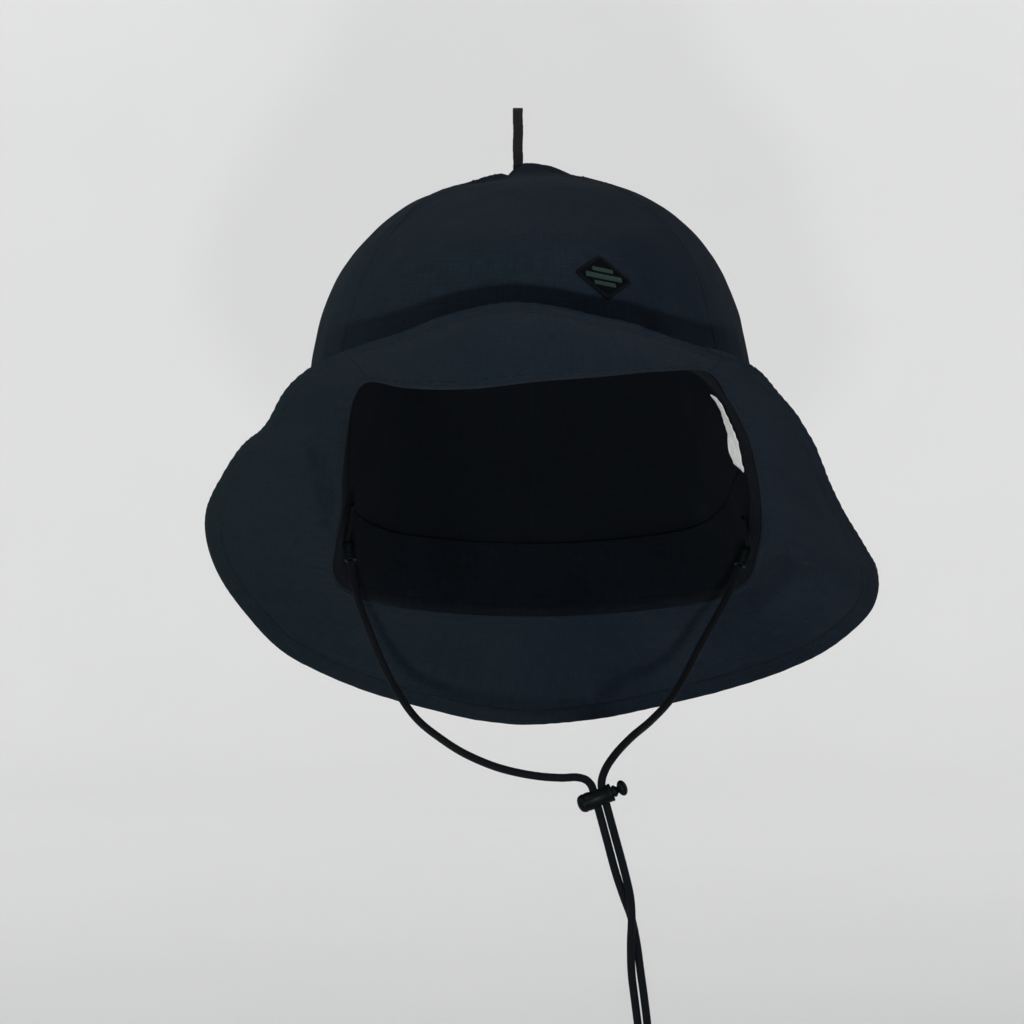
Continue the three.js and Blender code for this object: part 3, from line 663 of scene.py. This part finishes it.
def plastic_material():
    n = Nodes("moulded_plastic", 0.42, Specular_IOR_Level=0.07)
    grain = n.noise(1500, 3)
    scuffs = n.noise(160, 5, None, (1.0, 1.0, 4.0))
    n.colour(n.mix(n.range(scuffs, 0.0, 1.0, 0.35, 0.75), ink(10, 22, 26), ink(24, 42, 48)))
    n.feed(n.shader.inputs["Roughness"], n.range(scuffs, 0.34, 0.52, 0.3, 0.7))
    n.bump(grain, 0.25, 0.00006)
    return n.material


def steel_material():
    n = Nodes("spring_steel", 0.3, Metallic=1.0)
    marks = n.noise(600, 4, None, (1.0, 6.0, 6.0))
    n.colour(n.mix(marks, rgb(0.42, 0.44, 0.47), rgb(0.62, 0.64, 0.67)))
    n.feed(n.shader.inputs["Roughness"], n.range(marks, 0.22, 0.4))
    n.bump(marks, 0.2, 0.00002)
    return n.material


CORD_BRAID, LOCK_PLASTIC, SPRING_STEEL = cord_material(), plastic_material(), steel_material()

# ---- chin cords
CORD_RIGHT = [
    (-73.4, 8, -20), (-72, 5, -28), (-69, 1, -38), (-65, -3, -48), (-59.5, -6, -61), (-53, -11, -72.5),
    (-46, -20, -81), (-36, -37, -87.5), (-25, -55, -92.5), (-12, -68, -96.4), (1, -75, -98.4), (10, -77.6, -98.8),
    (15.9, -78, -98.6), (19.2, -78, -99.6), (21.1, -78, -101.6), (21.7, -78, -103.2),
    (22.6, -78, -106.3), (26.55, -78, -120.8), (30.2, -78, -134.3), (33.1, -76.8, -143),
    (36, -76.3, -151), (37.9, -76.7, -160), (39.4, -77.7, -171), (40.9, -78, -182), (42, -78, -192),
    (42.6, -78, -206), (42.4, -78, -219)]
CORD_LEFT = [
    (83.4, 11.5, -22), (80.5, 9, -29), (76.5, 5, -37), (71, 0, -46), (65, -6, -56), (59.5, -13, -65.5),
    (53.5, -24, -73.5), (45, -42, -80.3), (36.5, -60, -85.4), (30.2, -72, -90.6), (26.6, -77, -95.2),
    (25.1, -78, -99), (24.9, -78, -102.2), (25.8, -78, -105.5), (29.75, -78, -120), (33.4, -78, -133.5),
    (35.5, -79.2, -143), (36, -79.7, -151), (35.7, -79.3, -160), (36, -78.3, -171), (37.3, -78, -182),
    (38.5, -78, -192), (39.2, -78, -206), (39.1, -78, -219)]
CORD_RADIUS = 1.5


def braid_relief(gone, angle):
    """Strands that cross over and under each other round the cord."""
    one, two = 8 * angle + gone * 2.1, 8 * angle - gone * 2.1
    return 0.07 * np.maximum(np.cos(one / 2) ** 2, np.cos(two / 2) ** 2) - 0.05


def even_path(points, step):
    """A smooth curve through the points, cut into even steps."""
    fine = spline(points, np.linspace(0, 1, 3000), False)
    gone = run_length(fine)
    return read_line(fine, gone, np.linspace(0, gone[-1], max(2, round(gone[-1] / step)) + 1))


def add_cord(name, points, node):
    path = even_path(points, 0.45)
    cord = tube(name, path, CORD_RADIUS, 32, braid_relief)
    finish_with(cord, CORD_BRAID, [node])


add_cord("cord_right_braid", CORD_RIGHT, "chin_cord_right")
add_cord("cord_left_braid", CORD_LEFT, "chin_cord_left")

# ---- crown
PANEL_GAP = 0.06
APEX_CLEAR = 0.9


def crown_sheet(name, from_station, to_station, depth, thick, foot, step, extra=None, straight=False):
    """One cloth of the crown between two seams, rounded at its borders."""
    low, high = from_station / STATION_COUNT, to_station / STATION_COUNT
    wide = (high - low) * PANEL_ROUND
    tall = float(rib_length(np.array((low + high) / 2))) - APEX_CLEAR
    share_u, share_v = np.meshgrid(spaced(wide, step) / wide, spaced(tall - foot, step) / (tall - foot))
    swing = lambda station: 0 * share_v if straight else seam_turn(station, share_v) - station / STATION_COUNT
    start, end = low + swing(from_station % STATION_COUNT), high + swing(to_station % STATION_COUNT)
    turn = lerp(start, end, share_u)
    climb = lerp(foot, rib_length(turn) - APEX_CLEAR, share_v)
    around = girth(turn, climb)
    turn = turn + PANEL_GAP * (0.5 - share_u) * 2 / around
    side = np.minimum(share_u, 1 - share_u) * (end - start) * around
    ends = np.minimum(share_v, 1 - share_v) * (tall - foot)
    half = thick / 2 * rounding(side) * rounding(ends)
    centre = depth + thick / 2 - (0 if extra is None else extra(turn, climb))
    uvs = pair(share_u * wide + from_station * 23, climb)
    return shell(name, crown(turn, climb, centre - half), crown(turn, climb, centre + half), uvs)


# Cut sizes in metres, by plain geometry from the control points above: straight lengths along the seam, and up the
# middle of the panel. A gore on a dome covers 2/pi of its base times its height. The back panels are straight for
# the lower half, so half of them is whole. None of these numbers is taken from a mesh.
GORE = 2 / math.pi
BACK_GORE = 0.5 + 0.5 * GORE
CROWN_PANELS = [
    ("front_panel", -SIDE_SEAM, SIDE_SEAM, "crown_front_panel", (0.178, 0.166), GORE),
    ("left_side_panel", SIDE_SEAM, BACK_SEAM, "crown_side_panel_left", (0.136, 0.187), GORE),
    ("left_back_panel", BACK_SEAM, BACK_CENTRE, "crown_back_panel_left", (0.112, 0.229), BACK_GORE),
    ("right_back_panel", BACK_CENTRE, STATION_COUNT - BACK_SEAM, "crown_back_panel_right", (0.112, 0.222), BACK_GORE),
    ("right_side_panel", STATION_COUNT - BACK_SEAM, STATION_COUNT - SIDE_SEAM, "crown_side_panel_right",
     (0.129, 0.181), GORE),
]


def add_crown():
    for name, low, high, node, flat, share in CROWN_PANELS:
        panel = crown_sheet(name, low, high, 0, SHELL, 0.3, 1.9)
        finish_with(panel, SHELL_CLOTH, [node])
    pleats = lambda turn, climb: 0.35 * ripple(crown(turn, climb, 3), 20, 31) - 0.2
    for name, low, high, node in (("left_lining", 0, BACK_CENTRE, "crown_lining_left"),
                                  ("right_lining", BACK_CENTRE, STATION_COUNT, "crown_lining_right")):
        half = crown_sheet(name, low, high, LINING_DEPTH, LINING, 3.5, 3.0, pleats, True)
        finish_with(half, SHADED_LINING_CLOTH, [node])


add_crown()


def crown_strip(name, line, half_width, climb_low, climb_high):
    """A narrow tape inside the crown that follows one line up it."""
    aside = np.array([-1, -0.9, -0.5, 0, 0.5, 0.9, 1]) * half_width
    across, up = np.meshgrid(aside, np.arange(climb_low, climb_high, 2.2))
    turn = line(up) + across / girth(line(up), up)
    half = TAPE / 2 * rounding(half_width - np.abs(across))
    centre = TAPE_DEPTH + TAPE / 2
    return shell(name, crown(turn, up, centre - half), crown(turn, up, centre + half), pair(across, up))


def add_tapes():
    names = ["front_left", "side_left", "back", "side_right", "front_right"]
    for name, station in zip(names, CROWN_SEAMS):
        top = float(rib_length(np.array(station / STATION_COUNT)))
        line = lambda climb, s=station, t=top: seam_turn(s, climb / t)
        strip = crown_strip(f"{name}_seam_tape", line, 4.0, 2.5, top - 16)
        finish_with(strip, BINDING_CLOTH, [f"seam_tape_{name}"])


BAND_STITCHES = (5.0, 28.5)


def add_sweatband():
    """A soft band inside the head seam. Its lower edge turns out to the seam, its upper edge is free."""
    up = spaced(BAND_HEIGHT - 0.4, 2.0)
    around, climb = np.meshgrid(np.arange(300) / 300, up + 0.4)
    base = crown(around, climb, 5)
    lean = 0.5 * smooth(climb, 8, 32) * ripple(base, 30, 41)
    turned = (BAND_DEPTH - 1.2) * swell(climb - 0.4, 1.8)
    half = BAND / 2 * rounding(np.minimum(climb - 0.4, BAND_HEIGHT - climb))
    row = 0.28 * (swell(climb - BAND_STITCHES[0], 0.7) + swell(climb - BAND_STITCHES[1], 0.7))
    centre = BAND_DEPTH + BAND / 2 - turned + lean * 0.6
    uvs = pair(around * BAND_ROUND, climb)
    band = shell("sweatband_cloth", crown(around, climb, centre - half), crown(around, climb, centre + half - row),
                 uvs, True)
    finish_with(band, SHADED_BAND_CLOTH, ["sweatband"])


add_tapes()
add_sweatband()

# ---- brim
UPPER, MIDDLE, UNDER = (0.45, 0.7), (-0.15, 0.3), (-1.15, 0.7)


def brim_sheet(name, low_station, high_station, low, thick):
    """One cloth of the brim between two stations, rounded at its borders."""
    low_turn, high_turn = low_station / STATION_COUNT, high_station / STATION_COUNT
    wide = (high_turn - low_turn) * EDGE_ROUND
    share_u, out = np.meshgrid(spaced(wide, FINE_STEP) / wide, spaced(BRIM_DEEP, FINE_STEP) / BRIM_DEEP)
    turn = lerp(low_turn, high_turn, share_u)
    across = np.linalg.norm(brim_base(turn + 0.001, out) - brim_base(turn - 0.001, out), axis=-1) / 0.002
    turn = turn + PANEL_GAP * (0.5 - share_u) * 2 / across
    side = np.minimum(share_u, 1 - share_u) * wide
    ends = np.minimum(out, 1 - out) * BRIM_DEEP
    half = thick / 2 * rounding(side) * rounding(ends)
    centre = low + thick / 2
    # The inner border reaches a little way in, under the crown's foot
    out_in = np.where(out <= 0, -0.03, out)
    uvs = pair(turn * BRIM_WEAVE, out * brim_width(turn))
    return shell(name, brim(turn, out_in, centre + half), brim(turn, out_in, centre - half), uvs)


def add_brim():
    pieces = [("front", -FRONT_CORNER, FRONT_CORNER, (0.149, 0.047)),
              ("back", FRONT_CORNER, STATION_COUNT - FRONT_CORNER, (0.648, 0.049))]
    layers = [("upper", UPPER, SHELL_CLOTH, "shell_cloth"), ("interlining", MIDDLE, INNER_CLOTH, "interlining"),
              ("under", UNDER, UNDER_CLOTH, "shell_cloth")]
    for layer, (low, thick), material, slot in layers:
        for piece, start, end, flat in pieces:
            part = brim_sheet(f"{piece}_brim_{layer}_cloth", start, end, low, thick)
            finish_with(part, material, [f"brim_{layer}_{piece}"])


def add_binding():
    """A tape folded over the brim's whole edge."""
    inside, thick, deep = 1.2, 0.16, 5.0
    outer = inside + thick
    bend = [(0.3 + outer * math.sin(a), outer * math.cos(a)) for a in np.linspace(0, math.pi, 9)]
    hollow = [(0.3 + inside * math.sin(a), inside * math.cos(a)) for a in np.linspace(math.pi, 0, 7)]
    face = [(-deep + 0.15, outer), (-deep + 1.0, outer + 0.02), (-3.4, outer - 0.06), (-1.6, outer + 0.02)]
    inner = [(-deep + 0.1, inside), (-deep, inside + thick / 2)]
    below = [(x, -z) for x, z in face[::-1] + inner[::-1]]
    section = np.array(face + bend + below + hollow + inner)
    columns = 430
    turn = np.broadcast_to(np.arange(columns)[:, None] / columns, (columns, len(section)))
    reach = np.broadcast_to(section[:, 0], turn.shape)
    lift = np.broadcast_to(section[:, 1], turn.shape)
    outward = 1 + np.minimum(reach, 0) / brim_width(turn)
    points = brim(turn, outward, lift)
    along = brim_base(turn + 0.002, np.ones_like(turn)) - brim_base(turn - 0.002, np.ones_like(turn))
    out = unit(np.cross(unit(along), brim_facing(turn, np.ones_like(turn))))
    points = points + out * np.maximum(reach, 0)[..., None]
    i = ring_grid(columns, len(section))
    uvs = pair(turn * TAPE_ROUND, run_length(section))
    binding = mesh_object("edge_binding_tape", points, quads(np.concatenate([i, i[:1]]), "adcb"), uvs)
    finish_with(binding, BINDING_CLOTH, ["brim_edge_binding"])


add_brim()
add_binding()

# ---- stitching
STITCH_LENGTH, STITCH_PITCH, STITCH_RADIUS = 2.2, 3.0, 0.17


def even_line(points, facing, closed=True):
    """Evenly spaced places along a line, each with the way it runs and the way the cloth faces."""
    if closed:
        points, facing = np.concatenate([points, points[:1]]), np.concatenate([facing, facing[:1]])
    gone = run_length(points)
    places = np.arange(STITCH_PITCH / 2, gone[-1] - STITCH_PITCH / 4, STITCH_PITCH)
    way = unit(read_line(points, gone, places + 0.4) - read_line(points, gone, places - 0.4))
    return read_line(points, gone, places), way, unit(read_line(facing, gone, places))


def add_stitches(name, lines, material):
    """Short thread ends, each arched over the cloth and sunk in at both ends."""
    along = np.array([-1, -0.86, -0.5, 0, 0.5, 0.86, 1])
    thin = np.array([0.15, 0.7, 1, 1, 1, 0.7, 0.15])
    angle = np.arange(6) * np.pi / 3
    centres, ways, facings = (np.concatenate([line[k] for line in lines]) for k in range(3))
    sides = unit(np.cross(facings, ways))
    centre = centres[:, None] + ways[:, None] * (along * STITCH_LENGTH / 2)[None, :, None]
    centre = centre + facings[:, None] * (0.22 * (1 - along**2) - 0.12)[None, :, None]
    spoke = (np.cos(angle)[None, None, :, None] * sides[:, None, None]
             + np.sin(angle)[None, None, :, None] * facings[:, None, None])
    points = centre[:, :, None] + spoke * (thin * STITCH_RADIUS)[None, :, None, None]
    count = len(centres)
    i = np.arange(count * 7 * 6).reshape(count, 7, 6)
    k = np.concatenate([i, i[:, :, :1]], axis=2)
    faces = np.stack([k[:, :-1, :-1], k[:, :-1, 1:], k[:, 1:, 1:], k[:, 1:, :-1]], axis=-1).reshape(-1, 4).tolist()
    faces += i[:, 0, ::-1].tolist() + i[:, -1].tolist()
    one = pair(angle * STITCH_RADIUS, (along * STITCH_LENGTH / 2)[:, None])
    stitches = mesh_object(name, points, faces, np.tile(one.reshape(-1, 2), (count, 1)))
    finish_with(stitches, material, ())


def add_all_stitching():
    round_turns = np.arange(1200) / 1200
    lines = []
    for station in CROWN_SEAMS:
        for side in (-1, 1):
            top = float(rib_length(np.array(station / STATION_COUNT)))
            climb = np.linspace(4.5, top - 9, 400)
            line = seam_turn(station, climb / top)
            turn = line + side * STITCH_ASIDE / girth(line, climb)
            lines.append(even_line(crown(turn, climb, 0.0), crown_out(turn, climb), False))
    lines.append(even_line(crown(round_turns, FOOT_STITCH, 0.0), crown_out(round_turns, FOOT_STITCH)))
    add_stitches("crown_topstitching", lines, STITCH_THREAD)
    inner, outer = 3.0 / brim_width(round_turns), 1 - 3.4 / brim_width(round_turns)
    lines = [even_line(brim(round_turns, out, lift), way * brim_facing(round_turns, out))
             for out, lift, way in ((inner, UPPER[0] + UPPER[1], 1), (inner, UNDER[0], -1), (outer, 1.34, 1),
                                    (outer, -1.34, -1))]
    add_stitches("brim_topstitching", lines, STITCH_THREAD)
    lines = []
    for climb in BAND_STITCHES:
        level = np.full(1200, climb)
        base = crown(round_turns, level, 5)
        deep = BAND_DEPTH + BAND + 0.3 * smooth(level, 8, 32) * ripple(base, 30, 41) - 0.28
        lines.append(even_line(crown(round_turns, level, deep), -crown_out(round_turns, level)))
    add_stitches("sweatband_topstitching", lines, BORDER_THREAD)


add_all_stitching()

# ---- patch and label
PATCH = {"station": 1.18, "height": 34.8, "width": 21.0, "tall": 15.5, "droop": 0.24, "slant": 0.09}


def on_patch(x, z, lift):
    """A point of the patch, from its own across and up."""
    turn = PATCH["station"] / STATION_COUNT
    around = float(girth(np.array(turn), np.array(PATCH["height"])))
    across, up = x - PATCH["slant"] * z, z - PATCH["droop"] * x
    return crown(turn + across / around, PATCH["height"] + up, -lift)


def add_patch():
    wide, tall = PATCH["width"] / 2, PATCH["tall"] / 2
    u, v = np.meshgrid(np.linspace(0, 1, 33), np.linspace(0, 1, 33))
    x, z = (u - v) * (wide - 0.5), (u + v - 1) * (tall - 0.5)
    uvs = pair(x, z)
    base = shell("diamond_patch_cloth", on_patch(x, z, 0.75), on_patch(x, z, 0.1), uvs)
    finish_with(base, PATCH_CLOTH, ["emblem_patch"])
    corners = np.array([(wide, 0), (0, tall), (-wide, 0), (0, -tall), (wide, 0)])
    sides = [lerp(a, b, t) for a, b in zip(corners[:-1], corners[1:]) for t in np.linspace(0.03, 0.97, 90)]
    loop = np.array(sides + [sides[0]])
    path = on_patch(loop[:, 0], loop[:, 1], 0.45)
    border = tube("patch_border", path, 0.62, 14,
                  lambda gone, angle: 0.09 * np.abs(np.sin(gone * np.pi / 0.75 + angle * 0.8)), False)
    finish_with(border, BORDER_THREAD, ())
    for name, z_mid, x_from, x_to, high in (("upper", 2.6, -4.2, 4.2, 1.7), ("middle", 0.0, -7.2, 7.2, 2.1),
                                            ("lower", -2.6, -4.2, 4.2, 1.7)):
        across, up = np.meshgrid(np.linspace(x_from, x_to, 61), np.linspace(-0.5, 0.5, 9))
        ends = np.clip(np.minimum(across - x_from, x_to - across) / 0.5, 0, 1)
        body = np.sqrt(np.maximum(1 - (2 * up) ** 2, 0)) * ends
        ridges = 0.05 * np.abs(np.sin(across * np.pi / 0.4))
        uvs = pair(up * high, across)
        bar = shell(f"patch_motif_{name}", on_patch(across, z_mid + up * high, 0.7 + (0.4 + ridges) * body),
                    on_patch(across, z_mid + up * high, 0.65), uvs)
        finish_with(bar, MOTIF_THREAD, ())


def add_label():
    low, high, foot, tall, lean = 4.15 / STATION_COUNT, 6.1 / STATION_COUNT, 3.0, 3.6, 5.0
    u, v = np.meshgrid(np.linspace(0, 1, 61), spaced(tall, 0.7, (0, 0.1, 0.3)) / tall)
    turn, climb = lerp(low, high, u), foot + tall * v * lerp(0.45, 1.0, smooth(u, 0.0, 0.7))
    wave = 0.25 * np.sin(u * 17) + 0.3 * np.sin(u * 9 + 1)
    depth = BAND_DEPTH + BAND + 0.3 + (lean + wave) * v * lerp(0.4, 0.85, smooth(u, 0.0, 0.8))
    uvs = pair(u * 66, v * tall)
    label = shell("side_label_tape", crown(turn, climb, depth), crown(turn, climb, depth + LABEL), uvs)
    finish_with(label, LABEL_CLOTH, ["care_label"])


add_patch()
add_label()

# ---- hang loop
def add_hang_loop():
    """Tape folded into an upright loop, with its two ends sewn into the top of the crown."""
    low, high = (np.array(c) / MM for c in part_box("hang_loop"))
    thick, wide = 1.3, high[0] - low[0]
    middle_x = (low[0] + high[0]) / 2
    middle_y, full = (low[1] + high[1]) / 2, (high[1] - low[1] - thick) / 2
    top, foot = high[2] - thick / 2, low[2]
    bend = top - full * 0.55
    arc = [(full * math.cos(a), bend + full * 0.55 * math.sin(a)) for a in np.linspace(math.pi, 0, 15)]
    legs = np.linspace(foot - 2.2, bend - 0.4, 30)
    spread = lerp(0.7, full, smooth(legs, foot, foot + 6))
    line = list(zip(-spread, legs)) + arc + list(zip(spread[::-1], legs[::-1]))
    path = np.array([(middle_x, middle_y + y, z) for y, z in line])
    path[:, 0] += 0.1 * np.sin(path[:, 2] * 0.5)
    way = unit(np.gradient(path, axis=0))
    across = np.array([1.0, 0, 0])
    out = unit(np.cross(way, across))
    half_w, half_t = wide / 2, thick / 2
    section = []
    for k in range(28):
        a = 2 * math.pi * k / 28
        c, s = math.cos(a), math.sin(a)
        flat = half_t * np.sign(s) * abs(s) ** 0.5 * (1 - 0.16 * (1 - abs(c)))
        section.append((half_w * np.sign(c) * abs(c) ** 0.35, flat))
    section = np.array(section)
    gone = run_length(path)
    edge = 1 + 0.03 * np.sin(gone * 2 * np.pi / 1.1)[:, None] * (np.abs(section[:, 0]) > half_w * 0.9)
    points = path[:, None] + across * (section[:, 0] * edge)[..., None] - out[:, None] * section[None, :, 1:2]
    loop = ringed("hang_loop_tape", points, pair(section[:, 0], gone[:, None]))
    loop.data.materials.append(LOOP_CLOTH)
    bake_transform(loop)
    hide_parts("hang_loop")


add_hang_loop()

# ---- cord lock
LOCK_CENTRE = np.array([24.2, -78, -105.9])
LOCK_AXIS = np.array([math.cos(math.radians(22)), 0, math.sin(math.radians(22))])
SPRING = {"low": -7.04, "high": -5.71, "radius": 1.6, "wire": 0.36, "turns": 2.5}


def slot_cutter(name, low, high, half):
    """A through slot with round ends, to be cut across the lock."""
    bend = np.linspace(-math.pi / 2, math.pi / 2, 13)
    ends = [(high - half + half * math.cos(a), half * math.sin(a)) for a in bend]
    ends += [(low + half - half * math.cos(a), -half * math.sin(a)) for a in bend]
    outline = np.array(ends)
    through = np.cross(LOCK_AXIS, [0, 1, 0])
    flat = LOCK_CENTRE + LOCK_AXIS * outline[:, :1] + np.array([0, 1, 0]) * outline[:, 1:]
    points = np.concatenate([flat - through * 8, flat + through * 8])
    n = len(outline)
    faces = [list(range(n))[::-1], list(range(n, 2 * n))]
    faces += [[k, (k + 1) % n, n + (k + 1) % n, n + k] for k in range(n)]
    return mesh_object(name, points, faces)


def cut(obj, cutter):
    for piece in (obj, cutter):
        b = bmesh.new()
        b.from_mesh(piece.data)
        bmesh.ops.recalc_face_normals(b, faces=b.faces)
        b.to_mesh(piece.data)
        b.free()
    modifier = obj.modifiers.new("slot", "BOOLEAN")
    modifier.operation, modifier.object, modifier.solver = "DIFFERENCE", cutter, "EXACT"
    bevel = obj.modifiers.new("soft", "BEVEL")
    bevel.width, bevel.segments, bevel.angle_limit = 0.18 * MM, 2, math.radians(50)
    bpy.context.view_layer.update()
    shape = bpy.data.meshes.new_from_object(obj.evaluated_get(bpy.context.evaluated_depsgraph_get()))
    obj.modifiers.clear()
    obj.data = shape
    shape.shade_smooth()
    shape.set_sharp_from_angle(angle=math.radians(40))
    bpy.data.objects.remove(cutter)


def add_lock():
    rim = [(-8.7, 0), (-8.68, 0.7), (-8.5, 1.65), (-8.15, 2.4), (-7.6, 3.0), (-6.8, 3.33), (-6.1, 3.45), (-5.9, 3.45),
           (-5.6, 3.3), (-5.3, 3.3), (-5.0, 3.45), (3.6, 3.45), (3.85, 3.3), (4.15, 3.3), (4.4, 3.45), (4.75, 3.42),
           (4.98, 3.25), (5.1, 2.95), (5.1, 2.62), (5.0, 2.5), (-4.9, 2.5), (-5.2, 2.95), (-7.4, 2.95), (-7.8, 2.6),
           (-7.95, 2.1), (-7.95, 0)]
    body = lathe("cord_lock_barrel", rim, LOCK_CENTRE, LOCK_AXIS, 64)
    cut(body, slot_cutter("slot_a", -3.85, 3.85, 1.8))
    finish_with(body, LOCK_PLASTIC, ["cord_lock_body"], "lock")
    dome = [(7.1 + 3.0 * (1 - math.cos(a)) / 1.6, 3.0 * math.sin(a)) for a in np.radians(np.linspace(24, 172, 19))]
    profile = [(-5.05, 0), (-5.05, 1.9), (-4.75, 2.2), (6.25, 2.2), (6.5, 1.9), (6.8, 1.5), (7.0, 1.35)]
    profile += dome + [(dome[-1][0], 0)]
    plunger = lathe("cord_lock_button", profile, LOCK_CENTRE, LOCK_AXIS, 64)
    cut(plunger, slot_cutter("slot_b", -3.85, 5.65, 1.8))
    finish_with(plunger, LOCK_PLASTIC, ["cord_lock_plunger"], "plunger")
    # The coil is a helix round the lock's axis and goes with the button
    share = np.linspace(0, 1, 76)[:, None]
    angle = share * SPRING["turns"] * 2 * math.pi
    along = SPRING["low"] + (SPRING["high"] - SPRING["low"]) * share
    across = np.cross(LOCK_AXIS, [0, 1, 0])
    path = LOCK_CENTRE + LOCK_AXIS * along + SPRING["radius"] * (np.cos(angle) * [0, 1, 0] + np.sin(angle) * across)
    spring = tube("cord_lock_coil", path, SPRING["wire"] / 2, 10)
    finish_with(spring, SPRING_STEEL, ["cord_lock_spring"], "plunger")
    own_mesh(spring)


add_lock()

# ---- cord anchors and the end knot
def add_anchor(side, node, route, seam_point):
    start = np.array(route[0], float)
    upward = unit(start - np.array(route[1], float))
    foot = start + upward * 0.3
    profile = [(0, 0), (0, 1.9), (0.15, 2.3), (0.45, 2.5)]
    for k in range(7):
        at = 0.9 + k * 0.85
        profile += [(at, 2.5), (at + 0.2, 2.38), (at + 0.45, 2.38), (at + 0.65, 2.5)]
    profile += [(7.2, 2.2), (8.2, 1.75), (8.9, 1.2), (9.0, 0.8), (9.0, 0)]
    sleeve = lathe(f"{side}_cord_sleeve", profile, foot, upward, 40)
    finish_with(sleeve, LOCK_PLASTIC, [f"{node}_sleeve"])
    top = foot + upward * 8.6
    reach = np.array(seam_point, float) - top
    v = spaced(np.linalg.norm(reach), 1.2)
    v = v / v[-1]
    u = np.array([-1, -0.93, -0.7, -0.35, 0, 0.35, 0.7, 0.93, 1])
    aside = unit(np.cross(reach, np.array([1.0, 0, 0])))
    face = unit(np.cross(aside, reach))
    across, up = np.meshgrid(u, v)
    half_width = 4.5 * lerp(0.45, 1.0, smooth(up, 0.0, 0.45))
    bow = 0.35 * np.sin(np.pi * up)
    centre = top + reach * up[..., None] + aside * (across * half_width)[..., None] + face * bow[..., None]
    half = 0.6 * rounding((1 - np.abs(across)) * 4.5, 0.6)
    ribbed = 0.06 * np.abs(np.sin(across * 9))
    uvs = pair(across * 4.5, up * np.linalg.norm(reach))
    deep = face * (half + ribbed)[..., None]
    tab = shell(f"{side}_cord_tab", centre + deep, centre - deep, uvs)
    finish_with(tab, TAB_CLOTH, [f"{node}_tab"])


add_anchor("right", "cord_anchor_right", CORD_RIGHT, (-72.5, 8.5, 3))
add_anchor("left", "cord_anchor_left", CORD_LEFT, (85, 13, -2.5))


def add_knot():
    """Both cord ends wound twice round themselves, with the two short tails below."""
    centre = np.array([40.7, -78, -225.2])
    turn = np.linspace(0, 2 * np.pi * 2.6, 260)
    radius = 3.4 - 0.5 * np.cos(np.linspace(0, 2 * np.pi, 260))
    fall = np.linspace(3.9, -3.9, 260)
    coil = centre + np.stack([radius * np.cos(turn), radius * np.sin(turn) * 0.95, fall], axis=-1)
    into = even_path([centre + (0.4, 0.2, 6.2), centre + (1.6, 0.5, 5.2), coil[0]], 0.4)[:-1]
    away = even_path([coil[-1], centre + (0.8, -0.6, -5.2), centre + (0.6, -0.2, -7.5)], 0.4)[1:]
    wound = tube("end_knot_coil", np.concatenate([into, coil, away]), 1.42, 24, braid_relief)
    finish_with(wound, CORD_BRAID, ["cord_end_knot"])
    strands = [((1.7, 0, 6.2), (0.9, 0, 0), (1.3, 0.6, -6.0), (2.6, 1.0, -13.5)),
               ((-1.6, 0, 6.2), (-1.0, 0, 0), (-1.4, 0.2, -6.0), (-2.9, -0.6, -12.0))]
    for name, points in zip(("one", "two"), strands):
        tail = tube(f"end_knot_tail_{name}", even_path([centre + p for p in points], 0.4), 1.4, 24, braid_relief)
        finish_with(tail, CORD_BRAID, ())


add_knot()

# ---- studio
def stage_material():
    n = Nodes("studio_paper", 0.95, Specular_IOR_Level=0.1)
    n.colour(n.mix(n.range(n.noise(6, 2), 0.0, 1.0), rgb(0.760, 0.760, 0.760), rgb(0.785, 0.785, 0.785)))
    return n.material


def add_stage():
    """A pale floor that curves up into a backdrop well behind the hat."""
    floor, start, radius, top = -262.0, 1500.0, 700.0, 2600.0
    line = [(-3500, floor), (-500, floor), (start, floor)]
    bend = np.linspace(0.1, math.pi / 2, 16)
    line += [(start + radius * math.sin(a), floor + radius * (1 - math.cos(a))) for a in bend]
    line += [(start + radius, top)]
    points = [(x, y, z) for y, z in line for x in (-4000, 4000)]
    faces = [(2 * k, 2 * k + 1, 2 * k + 3, 2 * k + 2) for k in range(len(line) - 1)]
    backdrop = mesh_object("studio_floor", points, faces)
    backdrop.data.materials.append(stage_material())


def add_light(name, place, target, size, watts):
    data = bpy.data.lights.new(name, "AREA")
    data.shape, data.size, data.energy = "DISK", size, watts
    lamp = bpy.data.objects.new(name, data)
    lamp.location = place
    lamp.rotation_euler = (Vector(target) - Vector(place)).to_track_quat("-Z", "Y").to_euler()
    lamp.visible_camera = False
    bpy.context.collection.objects.link(lamp)


def add_world():
    world = bpy.data.worlds.new("studio_light")
    world.use_nodes = True
    background = world.node_tree.nodes["Background"]
    background.inputs["Color"].default_value = rgb(0.98, 0.99, 1.0)
    background.inputs["Strength"].default_value = 0.28
    bpy.context.scene.world = world


add_stage()
add_world()
add_light("flash", (0.0, -1.15, -0.16), (0, 0, 0.03), 0.045, 6.6)
add_light("side_fill_left", (-1.3, -0.75, 0.75), (-0.03, 0, 0.06), 0.9, 6.5)
add_light("side_fill_right", (1.3, -0.9, 0.6), (0.03, 0, 0.05), 0.9, 2.6)
add_light("backdrop_left", (-1.5, 0.7, 1.5), (-0.4, 2.2, 0.3), 0.9, 18.5)
add_light("backdrop_right", (1.5, 0.7, 1.5), (0.4, 2.2, 0.3), 0.9, 18.5)
